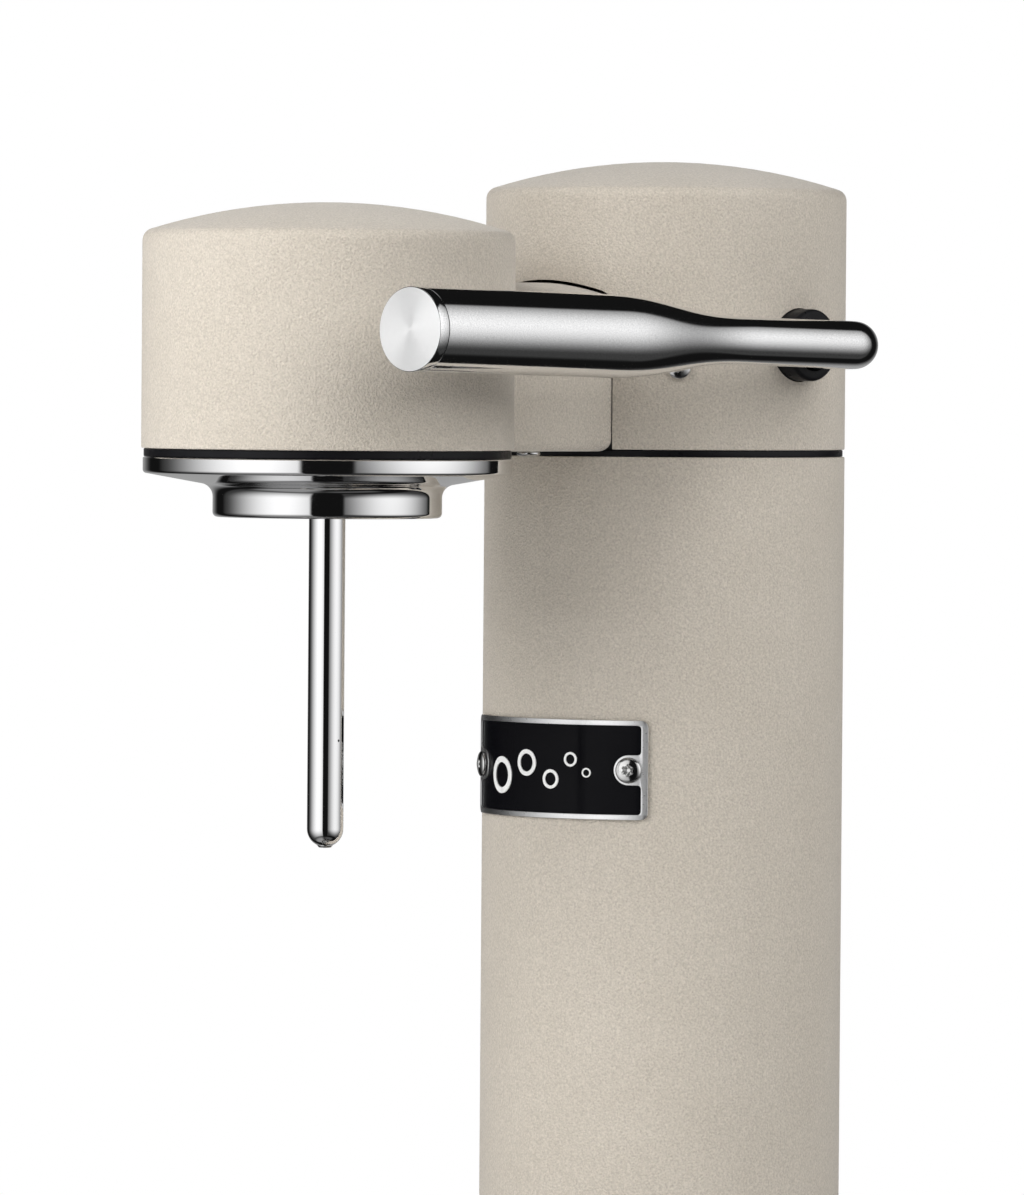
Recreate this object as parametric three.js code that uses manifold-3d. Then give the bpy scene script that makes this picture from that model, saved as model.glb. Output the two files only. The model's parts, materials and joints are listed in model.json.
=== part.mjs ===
// A soda carbonator: a round column that hides a gas cylinder, a domed head on a short neck in front of it,
// and a lever that presses the cylinder's valve open through a cam.
//
// Millimetres, +Z up. The origin is on the ground under the nozzle, and the front is -Y.
import * as THREE from "three";
import { mergeVertices } from "three/addons/utils/BufferGeometryUtils.js";
import Module from "manifold-3d";

const wasm = await Module();
wasm.setup();

// ---- Driving dimensions ----

const spacing = 120; // from the nozzle's axis to the column's
const bodyRadius = 45; // column, cap and head alike
const shellWall = 1.6;
const domeRadius = 142; // of the cap's and the head's tops
const domeEdge = 3; // fillet round each dome
const seam = 0.1; // between parts that are clamped together
const fit = 0.3; // between parts that pass through one another
const over = 1; // how far a cutter runs past what it cuts
const capTop = 414;
const headTop = 402;
const shellBottom = 342.5; // lower edge of cap and head
const flangeTop = 340.4; // where the mouth collar starts
const columnTop = 340.7;

const pad = { height: 2, inset: 2.5, clearance: 4 };
const base = {
  frontRadius: 75.5,
  rearRadius: 62,
  top: 12.5,
  wall: 3,
  roof: 3,
  edge: 1.5,
  recess: 1,
  clearance: 3, // round the tray and the gas cylinder
  screwSeat: 5,
};
const tray = { floorRadius: 64, rimRadius: 70, lip: 1.2, height: 10.5, wall: 1.2 };
const footRing = { inner: 31, height: 20, drilled: 10 };
const guide = { inner: 30.7, bottom: 268, height: 9 };
const gasket = { towerInset: 0.5, headInset: 0.6, headInner: 40.5 };
const cylinder = {
  radius: 30,
  wall: 3,
  bottom: 15,
  dish: 4,
  footWidth: 8,
  footEdge: 3,
  shoulder: 284,
  shoulderRadius: 20,
  shoulderTurn: 75,
  neckRadius: 12.5,
  neckBore: 8.5,
  neckHeight: 6,
  neckTop: 312,
};
const valve = { radius: 10.5, edge: 1, top: 338, bottom: 302, bore: 2.2, depth: 13 };
const stem = { radius: 1.6, length: 7 };
const block = { radius: 22, bottom: 326, top: 346.3, socket: 10.9, port: 2.6, portDepth: 4.5 };

const chassis = {
  bottom: 346.6,
  thickness: 2.4,
  discRadius: 40,
  halfWidth: 16.8,
  wall: 2,
  front: 20, // where its side walls start
  back: 147, // and where they end
  top: 377,
  post: 4, // half the width of the posts that take the cap's screws
  postStart: 24,
  postGap: 0.7,
};
const neck = {
  halfWidth: 19.4,
  top: 383.4,
  bottom: 342,
  crown: 56,
  edge: 4,
  foot: 3,
  wall: 1.5,
  entry: 0.4, // how far each end goes into its notch in the cap or the head
  clearance: 0.3, // at its sides in the notches
  headroom: 0.5, // more above it than at its sides
};
const pivotZ = 368.5;
const axle = { radius: 5, left: -22.5, right: 43.7, spigot: 3.9, spigotEnd: 52 };
const bush = { radius: 8.9, inner: 6.2, from: 40, to: 50, chamfer: 0.8 };
const bearing = { outer: 7, inner: 5.15, flange: 8.5, flangeWidth: 1 };
const clip = { width: 1.1, groove: 1.3, depth: 0.7, reach: 2.2, opening: 30 };
const cam = { hub: 8, lobe: 6.5, offset: 7, halfWidth: 4, restAngle: 10, pin: 1.5 };
const pin = { radius: 1.8, head: 6, headHeight: 2.5, top: 360.1 };
const spring = { wire: 0.8, radius: 4.5, turns: 4 };

const lever = {
  x: 67.5, // of the bar's axis
  front: -41.5,
  gripRadius: 10,
  gripEnd: 26,
  barRadius: 5.85,
  taperEnd: 75,
  bend: 8,
  innerEnd: 44,
  tilt: 1, // degrees the front stands above level at rest
  plug: 3,
};

const collar = {
  flange: 44.6,
  flangeEdge: 336.4,
  outer: 27.7,
  inner: 22,
  bottom: 326,
  edge: 1,
  fillet: 3.2,
  filletTop: 334.1,
  slopeStart: 336.3,
  boss: 3.5,
};
const nozzle = { radius: 4.4, bore: 2.6, end: 246.9, rounding: 3.9, top: 342.7 };
const jet = { radius: 2.4, bore: 0.7, bottom: 246.2, edge: 0.4, length: 14 };
const seal = { gap: 1, height: 3.5 };
const manifold = {
  flange: 21.6,
  flangeBottom: 339.5,
  boss: 10,
  bossBottom: 332,
  stack: 9.5,
  stackTop: 362,
  gasWay: 1.5,
  port: 2.1,
  portDepth: 5,
};
const relief = {
  radius: 6.5,
  bore: 4.6,
  floor: 1.8,
  height: 13.5,
  poppet: 4.1,
  poppetHeight: 2,
  stem: 1.2,
  stemAbove: 3,
  cap: 2,
  coil: { radius: 2.6, wire: 0.5, turns: 4 },
};
const hose = {
  radius: 2.8,
  bore: 2,
  height: 356,
  x: 10,
  y: 112,
  bend: 4,
  inNeck: [
    [9, 89.6],
    [1, 37.3],
  ],
};
const barb = { bore: 0.8, thread: 2.3, hex: 3.2, hexHeight: 1.6, radius: 1.3, length: 4.4 };

const badge = { centre: 263.7, height: 24.5, halfAngle: 38.3, thickness: 0.7, gap: 0.2, screwAngle: 32.3 };

const screws = {
  badge: { head: 3.2, height: 1.5, shank: 1.5, length: 5 },
  cap: { head: 3, height: 1.5, shank: 1.5, length: 9 },
  neck: { head: 2.9, height: 1.4, shank: 1.5, length: 7.5 },
  collar: { head: 3, height: 1.8, shank: 1.5, length: 9 },
  base: { head: 4, height: 2.2, shank: 2, length: 16 },
};
const capScrew = { angle: 46.9, z: 362.9 };
const neckScrew = { x: 10, y: spacing / 2 };
const collarScrewRadius = 34;
const frameScrewRadius = 34;
const baseScrewRadius = 38;

const fine = 32; // sides of the large round parts
const round = 24; // sides of the middling ones
const small = 16; // sides of the small ones
const tiny = 8; // sides of screws and pins

// ---- Finishes ----

const finishes = {
  sand: { color: 0xcfc7b8, roughness: 0.6, metalness: 0.2 },
  chrome: { color: 0xd9dbde, roughness: 0.08, metalness: 1 },
  steel: { color: 0xb9b9b8, roughness: 0.35, metalness: 1 },
  zinc: { color: 0x8f9296, roughness: 0.5, metalness: 0.9 },
  brass: { color: 0xb58f4a, roughness: 0.35, metalness: 1 },
  aluminium: { color: 0xa9adb2, roughness: 0.4, metalness: 1 },
  black: { color: 0x1b1b1c, roughness: 0.5, metalness: 0 },
  enamel: { color: 0x121213, roughness: 0.25, metalness: 0.3 },
  rubber: { color: 0x202020, roughness: 0.85, metalness: 0 },
  plastic: { color: 0x3a3c3f, roughness: 0.6, metalness: 0 },
};

function piece(name, geometry, finish) {
  const mesh = new THREE.Mesh(geometry, new THREE.MeshStandardMaterial(finishes[finish]));
  mesh.name = name;
  return mesh;
}

// ---- Solids ----

// The closed solid that a geometry bounds.
function solid(geometry) {
  const bare = geometry.clone();
  bare.deleteAttribute("normal");
  bare.deleteAttribute("uv");
  const merged = mergeVertices(bare, 1e-4);
  return new wasm.Manifold(
    new wasm.Mesh({
      numProp: 3,
      vertProperties: new Float32Array(merged.attributes.position.array),
      triVerts: new Uint32Array(merged.index.array),
    }),
  );
}

function geometryOf(shape) {
  const mesh = shape.getMesh();
  const geometry = new THREE.BufferGeometry();
  geometry.setAttribute("position", new THREE.BufferAttribute(mesh.vertProperties, 3));
  geometry.setIndex(new THREE.BufferAttribute(mesh.triVerts, 1));
  geometry.computeVertexNormals();
  return geometry;
}

function join(first, ...others) {
  return geometryOf(others.reduce((sum, other) => sum.add(solid(other)), solid(first)));
}

function cut(first, ...tools) {
  return geometryOf(tools.reduce((rest, tool) => rest.subtract(solid(tool)), solid(first)));
}

const radians = THREE.MathUtils.degToRad;

// Points of an arc from one angle to another, in degrees from the first axis towards the second.
function arc(centre, radius, from, to, steps) {
  return Array.from({ length: steps + 1 }, (_, i) => {
    const angle = radians(from + ((to - from) * i) / steps);
    return [centre[0] + radius * Math.cos(angle), centre[1] + radius * Math.sin(angle)];
  });
}

// A solid of revolution about Z, from the [radius, z] corners of its half section, in any order of travel.
function turned(profile, sides = fine) {
  const points = profile.map(([r, z]) => new THREE.Vector2(r, z));
  if (THREE.ShapeUtils.area(points) < 0) points.reverse();
  points.push(points[0].clone());
  return geometryOf(solid(new THREE.LatheGeometry(points, sides).rotateX(Math.PI / 2)));
}

function disc(radius, bottom, top, sides = fine) {
  return turned([[0, bottom], [radius, bottom], [radius, top], [0, top]], sides);
}

function discAt([x, y], radius, bottom, top, sides = tiny) {
  return disc(radius, bottom, top, sides).translate(x, y, 0);
}

function ring(inner, outer, bottom, top, sides = fine) {
  return turned([[inner, bottom], [outer, bottom], [outer, top], [inner, top]], sides);
}

// A box from its lowest to its highest corner.
function box(low, high) {
  const size = high.map((value, i) => value - low[i]);
  const centre = high.map((value, i) => (value + low[i]) / 2);
  return new THREE.BoxGeometry(...size).translate(...centre);
}

// An outline in the ground plane, raised from bottom to top.
function raised(outline, bottom, top, curveSegments = 10) {
  const depth = top - bottom;
  const geometry = new THREE.ExtrudeGeometry(outline, { depth, bevelEnabled: false, curveSegments });
  return geometry.translate(0, 0, bottom);
}

// Turns a geometry built along +Z to point along a direction, and moves its origin to a place.
function aimed(geometry, direction, place) {
  const along = new THREE.Vector3(...direction).normalize();
  const turn = new THREE.Quaternion().setFromUnitVectors(new THREE.Vector3(0, 0, 1), along);
  return geometry.applyQuaternion(turn).translate(...place);
}

function alongX(geometry, place = [0, 0, 0]) {
  return aimed(geometry, [1, 0, 0], place);
}

// Half of a crowned outline, from the side at x = halfWidth over a filleted edge to the crown's middle.
function crown(halfWidth, top, radius, edge, steps) {
  const centreZ = top - radius;
  const rise = Math.sqrt((radius - edge) ** 2 - (halfWidth - edge) ** 2);
  const turn = THREE.MathUtils.radToDeg(Math.atan2(rise, halfWidth - edge));
  const fillet = arc([halfWidth - edge, centreZ + rise], edge, 0, turn, steps);
  const dome = arc([0, centreZ], radius, turn, 90, steps);
  return [...fillet, ...dome.slice(1)];
}

// The hull of two circles on the Y axis, the first at the origin.
function pearOutline(frontRadius, rearRadius, distance) {
  const slant = Math.asin((frontRadius - rearRadius) / distance);
  const outline = new THREE.Shape();
  outline.absarc(0, distance, rearRadius, slant, Math.PI - slant, false);
  outline.absarc(0, 0, frontRadius, Math.PI - slant, Math.PI * 2 + slant, false);
  return outline;
}

// A button-head screw with a socket in its head. The head rests on z = 0 and the shank points down.
function screw({ head, height, shank, length }) {
  const socket = head * 0.45;
  const shoulder = head * 0.8;
  const brim = height * 0.35;
  return turned(
    [
      [0, -length],
      [shank, -length],
      [shank, 0],
      [head, 0],
      [head, brim],
      [shoulder, height * 0.8],
      [socket, height],
      [socket, height * 0.5],
      [0, height * 0.5],
    ],
    tiny,
  );
}

// A hole for a screw's shank, running both ways from z = 0.
function shankHole({ shank, length }) {
  return disc(shank + fit, -length - over, length, tiny);
}

// Places on a circle, as [x, y], starting from an angle in degrees.
function aroundCircle(centre, radius, count, start) {
  return arc(centre, radius, start, start + 360 - 360 / count, count - 1);
}

// ---- Base ----

const columnCentre = [0, spacing];
const baseScrewPlaces = aroundCircle(columnCentre, baseScrewRadius, 3, 30);

function baseOutline(inset) {
  return pearOutline(base.frontRadius - inset, base.rearRadius - inset, spacing);
}

function atColumn(geometry) {
  return geometry.translate(0, spacing, 0);
}

function basePad() {
  const [bottom, top] = [-over, pad.height + over];
  const opening = discAt(columnCentre, cylinder.radius + pad.clearance, bottom, top, fine);
  const access = baseScrewPlaces.map((place) => discAt(place, screws.base.head + over, bottom, top));
  return piece("base_pad", cut(raised(baseOutline(pad.inset), 0, pad.height), opening, ...access), "rubber");
}

// The foot's outside, its upper edge rounded in two steps.
function baseBody(bottom) {
  const { top, edge } = base;
  const shoulder = top - edge;
  return join(
    raised(baseOutline(0), bottom, shoulder),
    raised(baseOutline(edge / 2), shoulder - seam, top - edge / 4),
    raised(baseOutline(edge), shoulder - seam, top),
  );
}

function baseShell() {
  const bottom = pad.height + seam;
  const roof = base.top - base.roof;
  const pocket = raised(baseOutline(base.wall), bottom - over, roof);
  const boss = discAt(columnCentre, bodyRadius - over, bottom, roof + over, fine);
  const recess = disc(tray.floorRadius + base.clearance, base.top - base.recess, base.top + over);
  const opening = discAt(columnCentre, cylinder.radius + base.clearance, 0, base.top + over, fine);
  const holes = baseScrewPlaces.flatMap(([x, y]) => [
    shankHole(screws.base).translate(x, y, base.top),
    discAt([x, y], screws.base.head + fit, 0, base.screwSeat),
  ]);
  const hollow = join(cut(baseBody(bottom), pocket), boss);
  return piece("base_shell", cut(hollow, recess, opening, ...holes), "sand");
}

function baseScrews() {
  return baseScrewPlaces.map(([x, y], i) => {
    const geometry = aimed(screw(screws.base), [0, 0, -1], [x, y, base.screwSeat - seam]);
    return piece(`base_screw_${i + 1}`, geometry, "steel");
  });
}

function dripTray() {
  const { floorRadius, rimRadius, lip, height, wall } = tray;
  const bottom = base.top - base.recess + fit;
  const top = bottom + height;
  const corner = rimRadius - floorRadius;
  const outerCurve = arc([floorRadius, bottom + corner], corner, 270, 360, 4);
  const innerCurve = arc([floorRadius, bottom + corner], corner - wall, 360, 270, 4);
  const profile = [
    [0, bottom],
    ...outerCurve,
    [rimRadius, top - wall],
    [rimRadius + lip, top - wall],
    [rimRadius + lip, top],
    [rimRadius - wall, top],
    ...innerCurve,
    [0, bottom + wall],
  ];
  return piece("drip_tray", turned(profile), "steel");
}

// ---- Column ----

const badgeScrewDirections = [-1, 1].map((side) => {
  const angle = radians(badge.screwAngle) * side;
  return [Math.sin(angle), -Math.cos(angle), 0];
});

// A place on a circle round the column's axis, in a direction given from that axis.
function fromColumn([dx, dy], radius, z) {
  return [dx * radius, spacing + dy * radius, z];
}

function badgeHoles() {
  return badgeScrewDirections.map((out) =>
    aimed(shankHole(screws.badge), out, fromColumn(out, bodyRadius, badge.centre)),
  );
}

function towerTube() {
  const tube = atColumn(ring(bodyRadius - shellWall, bodyRadius, base.top + seam, columnTop));
  return piece("tower_tube", cut(tube, ...badgeHoles()), "sand");
}

function badgePlate() {
  const inner = bodyRadius + badge.gap;
  const outer = inner + badge.thickness;
  const [from, to] = [270 - badge.halfAngle, 270 + badge.halfAngle];
  const corners = [...arc([0, 0], outer, from, to, 10), ...arc([0, 0], inner, to, from, 10)];
  const outline = new THREE.Shape(corners.map(([x, y]) => new THREE.Vector2(x, y)));
  const bottom = badge.centre - badge.height / 2;
  const plate = atColumn(raised(outline, bottom, bottom + badge.height));
  return piece("badge_plate", cut(plate, ...badgeHoles()), "enamel");
}

function badgeScrews() {
  const seat = bodyRadius + badge.gap + badge.thickness + seam;
  return badgeScrewDirections.map((out, i) => {
    const geometry = aimed(screw(screws.badge), out, fromColumn(out, seat, badge.centre));
    return piece(["badge_screw_left", "badge_screw_right"][i], geometry, "steel");
  });
}

const insideColumn = bodyRadius - shellWall - fit;

function towerFootRing() {
  const bottom = base.top + seam;
  const body = atColumn(ring(footRing.inner, insideColumn, bottom, bottom + footRing.height));
  const holes = baseScrewPlaces.map((place) =>
    discAt(place, screws.base.shank + fit, 0, bottom + footRing.drilled),
  );
  return piece("tower_foot_ring", cut(body, ...holes), "plastic");
}

function cylinderGuide() {
  const { inner, bottom, height } = guide;
  return piece("cylinder_guide", atColumn(ring(inner, insideColumn, bottom, bottom + height)), "plastic");
}

const frameScrewPlaces = aroundCircle(columnCentre, frameScrewRadius, 3, 90);

function towerCollar() {
  const body = atColumn(ring(block.radius + fit, insideColumn, block.bottom + over, block.top));
  const holes = frameScrewPlaces.map(([x, y]) => shankHole(screws.collar).translate(x, y, block.top));
  return piece("tower_collar", cut(body, ...holes), "plastic");
}

function towerGasket() {
  const outer = bodyRadius - gasket.towerInset;
  const geometry = atColumn(ring(insideColumn + seam, outer, columnTop + seam, shellBottom - seam));
  return piece("tower_gasket", geometry, "rubber");
}

// ---- Gas cylinder and valve ----

function gasCylinder() {
  const { radius, wall, bottom, dish, footWidth, footEdge } = cylinder;
  const { neckRadius, neckBore, neckHeight, neckTop } = cylinder;
  const shoulderCentre = [radius - cylinder.shoulderRadius, cylinder.shoulder];
  const dome = (offset) =>
    arc(shoulderCentre, cylinder.shoulderRadius - offset, 0, cylinder.shoulderTurn, 4);
  const profile = [
    [0, bottom + dish],
    [radius - footWidth, bottom],
    [radius - footEdge, bottom],
    [radius, bottom + footEdge],
    ...dome(0),
    [neckRadius, neckTop - neckHeight],
    [neckRadius, neckTop],
    [neckBore, neckTop],
    [neckBore, neckTop - neckHeight - wall],
    ...dome(wall).reverse(),
    [radius - wall, bottom + dish + over],
    [radius - footWidth, bottom + dish],
    [0, bottom + dish * 2],
  ];
  return piece("gas_cylinder", atColumn(turned(profile, round)), "aluminium");
}

function cylinderValve() {
  const { radius, edge, bore, depth, top, bottom } = valve;
  const spigot = cylinder.neckBore - fit;
  const seat = cylinder.neckTop + seam;
  const profile = [
    [0, bottom],
    [spigot, bottom],
    [spigot, seat],
    [radius, seat],
    [radius, top - edge],
    [radius - edge, top],
    [bore, top],
    [bore, top - depth],
    [0, top - depth],
  ];
  return piece("cylinder_valve", atColumn(turned(profile, small)), "brass");
}

function valveStem() {
  const geometry = disc(stem.radius, valve.top - stem.length, valve.top, tiny);
  return piece("valve_stem", atColumn(geometry), "steel");
}

function valveBlock() {
  const top = block.top + over;
  const body = atColumn(disc(block.radius, block.bottom, block.top, round));
  const socket = discAt(columnCentre, block.socket, block.bottom - over, valve.top + fit, small);
  const channel = discAt(columnCentre, pin.radius + fit, valve.top, top);
  const port = discAt([hose.x, hose.y], block.port, block.top - block.portDepth, top);
  return piece("valve_block", cut(body, socket, channel, port), "zinc");
}

function valvePin() {
  const tip = valve.top + fit;
  const profile = [
    [0, tip],
    [pin.radius, tip],
    [pin.radius, pin.top - pin.headHeight],
    [pin.head, pin.top - pin.headHeight],
    [pin.head, pin.top],
    [0, pin.top],
  ];
  return piece("valve_pin", atColumn(turned(profile, small)), "steel");
}

class Helix extends THREE.Curve {
  constructor(radius, bottom, top, turns) {
    super();
    Object.assign(this, { radius, bottom, top, turns });
  }
  getPoint(t, target = new THREE.Vector3()) {
    const angle = t * this.turns * Math.PI * 2;
    const z = this.bottom + (this.top - this.bottom) * t;
    return target.set(this.radius * Math.cos(angle), this.radius * Math.sin(angle), z);
  }
}

// A coil spring whose wire just fits between two heights.
function coil(radius, wire, bottom, top, turns) {
  const extrudePath = new Helix(radius, bottom + wire, top - wire, turns);
  const section = new THREE.Shape().absarc(0, 0, wire, 0, Math.PI * 2, false);
  const options = { steps: turns * tiny, extrudePath, curveSegments: 3, bevelEnabled: false };
  return new THREE.ExtrudeGeometry(section, options);
}

function returnSpring() {
  const { radius, wire, turns } = spring;
  const geometry = coil(radius, wire, block.top + seam, pin.top - pin.headHeight - seam, turns);
  return piece("return_spring", atColumn(geometry), "steel");
}

// ---- Cap, neck and head shells ----

// A domed cylinder, open below.
function domedShell(top) {
  const inside = bodyRadius - shellWall;
  const outer = crown(bodyRadius, top, domeRadius, domeEdge, 3);
  const inner = crown(inside, top - shellWall, domeRadius - shellWall, domeEdge / 2, 2);
  return turned([[bodyRadius, shellBottom], ...outer, ...inner.reverse(), [inside, shellBottom]]);
}

const notchDepth = 12;

// The notch, open below, by which the cap and the head sit over the neck.
function neckNotch(nearY, farY) {
  const half = neck.halfWidth + neck.clearance;
  const middle = (neck.top + neck.bottom) / 2;
  const upper = alongNeck(neckSection(-neck.clearance), nearY, farY).translate(0, 0, neck.headroom);
  return join(upper, box([-half, nearY, neck.bottom - over], [half, farY, middle]));
}

const capScrewDirections = [-1, 1].map((side) => {
  const angle = radians(capScrew.angle) * side;
  return [Math.sin(angle), -Math.cos(angle), 0];
});

function capScrewHoles() {
  return capScrewDirections.map((out) =>
    aimed(shankHole(screws.cap), out, fromColumn(out, bodyRadius, capScrew.z)),
  );
}

function capShell() {
  const bushHole = alongX(disc(bush.radius + fit, 0, bodyRadius + 5, small), [0, spacing, pivotZ]);
  const front = spacing - bodyRadius;
  const notch = neckNotch(front - over, front + notchDepth);
  const geometry = cut(atColumn(domedShell(capTop)), notch, bushHole, ...capScrewHoles());
  return piece("cap_shell", geometry, "sand");
}

function capScrews() {
  return capScrewDirections.map((out, i) => {
    const geometry = aimed(screw(screws.cap), out, fromColumn(out, bodyRadius + seam, capScrew.z));
    return piece(["cap_screw_left", "cap_screw_right"][i], geometry, "steel");
  });
}

function headShell() {
  const notch = neckNotch(bodyRadius - notchDepth, bodyRadius + over);
  return piece("head_shell", cut(domedShell(headTop), notch), "sand");
}

// The neck's section in X and Z, each side inset from the outside.
function neckSection(inset) {
  const half = neck.halfWidth - inset;
  const foot = neck.foot - inset / 2;
  const bottom = neck.bottom + inset;
  const right = crown(half, neck.top - inset, neck.crown - inset, neck.edge - inset, 4);
  const left = right.slice(0, -1).reverse().map(([x, z]) => [-x, z]);
  const leftFoot = arc([foot - half, bottom + foot], foot, 180, 270, 3);
  const rightFoot = arc([half - foot, bottom + foot], foot, 270, 360, 3);
  return [...right, ...left, ...leftFoot, ...rightFoot].map(([x, z]) => new THREE.Vector2(x, z));
}

// An outline in X and Z carried along Y.
function alongNeck(outline, nearY, farY, ...holes) {
  const shape = new THREE.Shape(outline);
  shape.holes.push(...holes.map((hole) => new THREE.Path(hole)));
  const body = new THREE.ExtrudeGeometry(shape, { depth: farY - nearY, bevelEnabled: false });
  return body.rotateX(Math.PI / 2).translate(0, farY, 0);
}

const neckScrewPlaces = [-1, 1].map((side) => [side * neckScrew.x, neckScrew.y]);

// A sleeve whose ends are coped to the two cylinders that it joins.
function neckCover() {
  const [near, far] = [bodyRadius / 2, spacing - bodyRadius / 2];
  const sleeve = alongNeck(neckSection(0), near, far, neckSection(neck.wall));
  const ends = [[0, 0], columnCentre].map((place) =>
    discAt(place, bodyRadius - neck.entry, neck.bottom - over, neck.top + over, fine),
  );
  const holes = neckScrewPlaces.map((place) =>
    discAt(place, screws.neck.shank + fit, neck.bottom - over, neck.bottom + neck.wall + over),
  );
  return piece("neck_cover", cut(sleeve, ...ends, ...holes), "sand");
}

function neckScrews() {
  return neckScrewPlaces.map(([x, y], i) => {
    const geometry = aimed(screw(screws.neck), [0, 0, -1], [x, y, neck.bottom - seam]);
    return piece(["neck_screw_left", "neck_screw_right"][i], geometry, "steel");
  });
}

// ---- Chassis ----

const collarScrewPlaces = aroundCircle([0, 0], collarScrewRadius, 3, 210);

const floorTop = chassis.bottom + chassis.thickness;

function chassisBody() {
  const { bottom, discRadius, halfWidth, wall, front, back, top, post } = chassis;
  const sides = [-halfWidth, halfWidth - wall].map((x) =>
    box([x, front, bottom + seam], [x + wall, back, top]),
  );
  const postEnd = insideColumn - chassis.postGap;
  const posts = capScrewDirections.map((out) =>
    aimed(box([-post, -post, chassis.postStart], [post, post, postEnd]), out, [0, spacing, capScrew.z]),
  );
  return join(
    disc(discRadius, bottom, floorTop),
    atColumn(disc(discRadius, bottom, floorTop)),
    box([-halfWidth, 0, bottom], [halfWidth, spacing, floorTop]),
    ...sides,
    ...posts,
  );
}

// A hole through the chassis's floor.
function floorHole(place, radius, sides = tiny) {
  return discAt(place, radius, chassis.bottom - over, floorTop + over, sides);
}

function chassisFrame() {
  const reach = chassis.halfWidth + over;
  const bearingHole = alongX(disc(bearing.outer + fit, -reach, reach, small), [0, spacing, pivotZ]);
  const openings = [
    floorHole([0, 0], manifold.stack + fit * 2, small),
    floorHole(columnCentre, pin.head + over, small),
    floorHole([hose.x, hose.y], hose.radius + over),
  ];
  const screwPlaces = [...collarScrewPlaces, ...frameScrewPlaces, ...neckScrewPlaces];
  const drilled = screwPlaces.map((place) => floorHole(place, screws.collar.shank + fit));
  const holes = [bearingHole, ...openings, ...drilled, ...capScrewHoles()];
  return piece("chassis", cut(chassisBody(), ...holes), "zinc");
}

function frameScrews() {
  const seat = floorTop + seam;
  return frameScrewPlaces.map(([x, y], i) =>
    piece(`frame_screw_${i + 1}`, screw(screws.collar).translate(x, y, seat), "steel"),
  );
}

// ---- Lever, axle and cam ----

// [radius, y] of the grip's outside, thinning smoothly to the bar's radius.
function gripTaper(steps = 5) {
  const { gripRadius, gripEnd, barRadius, taperEnd } = lever;
  const thin = barRadius + seam / 2;
  return Array.from({ length: steps + 1 }, (_, i) => {
    const eased = (1 - Math.cos((Math.PI * i) / steps)) / 2;
    return [gripRadius + (thin - gripRadius) * eased, gripEnd + ((taperEnd - gripEnd) * i) / steps];
  });
}

function leverGrip() {
  const { x, front, gripRadius, taperEnd, plug } = lever;
  const start = front + plug + seam;
  const profile = [
    [0, start],
    [gripRadius - fit, start],
    [gripRadius, start + fit],
    ...gripTaper(),
    [0, taperEnd],
  ];
  return turned(profile, small).rotateX(-Math.PI / 2).translate(x, 0, 0);
}

// The thin bar from inside the grip round the bend to the bush.
const roundHandle = 0.55; // length of a quarter circle's control arm, in radii

function leverBar() {
  const { x, gripEnd, taperEnd, bend, innerEnd, barRadius } = lever;
  const corners = [
    [x, (gripEnd + taperEnd) / 2],
    [x, spacing - bend],
    [x, spacing],
    [x - bend, spacing],
    [innerEnd, spacing],
  ];
  const [start, turnIn, corner, turnOut, end] = corners.map(([cx, cy]) => new THREE.Vector3(cx, cy, 0));
  const handles = [turnIn, turnOut].map((place) => place.clone().lerp(corner, roundHandle));
  const extrudePath = new THREE.CurvePath();
  extrudePath.add(new THREE.LineCurve3(start, turnIn));
  extrudePath.add(new THREE.CubicBezierCurve3(turnIn, ...handles, turnOut));
  extrudePath.add(new THREE.LineCurve3(turnOut, end));
  const section = new THREE.Shape().absarc(0, 0, barRadius, 0, Math.PI * 2, false);
  const options = { steps: 18, extrudePath, curveSegments: 8, bevelEnabled: false };
  return new THREE.ExtrudeGeometry(section, options);
}

// The lever, level, in a frame whose origin is on the pivot's axis.
function leverPieces() {
  const { x, front, gripRadius, innerEnd, plug } = lever;
  const bore = disc(axle.spigot + seam * 2, innerEnd - over, axle.spigotEnd + fit, small);
  const socket = alongX(bore, [0, spacing, 0]);
  const whole = cut(join(leverGrip(), leverBar()), socket).translate(0, -spacing, 0);
  const plugProfile = [
    [0, 0],
    [gripRadius - fit, 0],
    [gripRadius, fit],
    [gripRadius, plug],
    [0, plug],
  ];
  const endCap = turned(plugProfile, small).rotateX(-Math.PI / 2).translate(x, front - spacing, 0);
  return [piece("lever", whole, "steel"), piece("lever_end_cap", endCap, "chrome")];
}

const clipGroove = axle.left + 3;

function axleShaft() {
  const { radius, left, right, spigot, spigotEnd } = axle;
  const grooveEnd = clipGroove + clip.groove;
  const profile = [
    [0, left],
    [radius - fit, left],
    [radius, left + fit],
    [radius, clipGroove],
    [radius - clip.depth, clipGroove],
    [radius - clip.depth, grooveEnd],
    [radius, grooveEnd],
    [radius, right],
    [spigot, right],
    [spigot, spigotEnd],
    [0, spigotEnd],
  ];
  const pinHole = disc(cam.pin + seam * 2, -radius - over, radius + over, tiny);
  return piece("axle", cut(alongX(turned(profile, small)), pinHole), "steel");
}

// The cam, its lobe over the valve pin, and the cross pin that locks it to the axle.
function camPieces() {
  const { hub, lobe, offset, halfWidth, restAngle } = cam;
  const body = raised(pearOutline(hub, lobe, offset), -halfWidth, halfWidth, 8);
  body.rotateZ(radians(restAngle)).rotateY(Math.PI / 2).rotateX(Math.PI / 2);
  const bore = alongX(disc(axle.radius + seam * 2, -halfWidth - over, halfWidth + over, small));
  const pinHole = disc(cam.pin + seam * 2, -hub * 2, hub * 2, tiny);
  const crossPin = disc(cam.pin, fit - hub, hub - fit, tiny);
  return [piece("cam", cut(body, bore, pinHole), "zinc"), piece("cam_pin", crossPin, "steel")];
}

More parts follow.
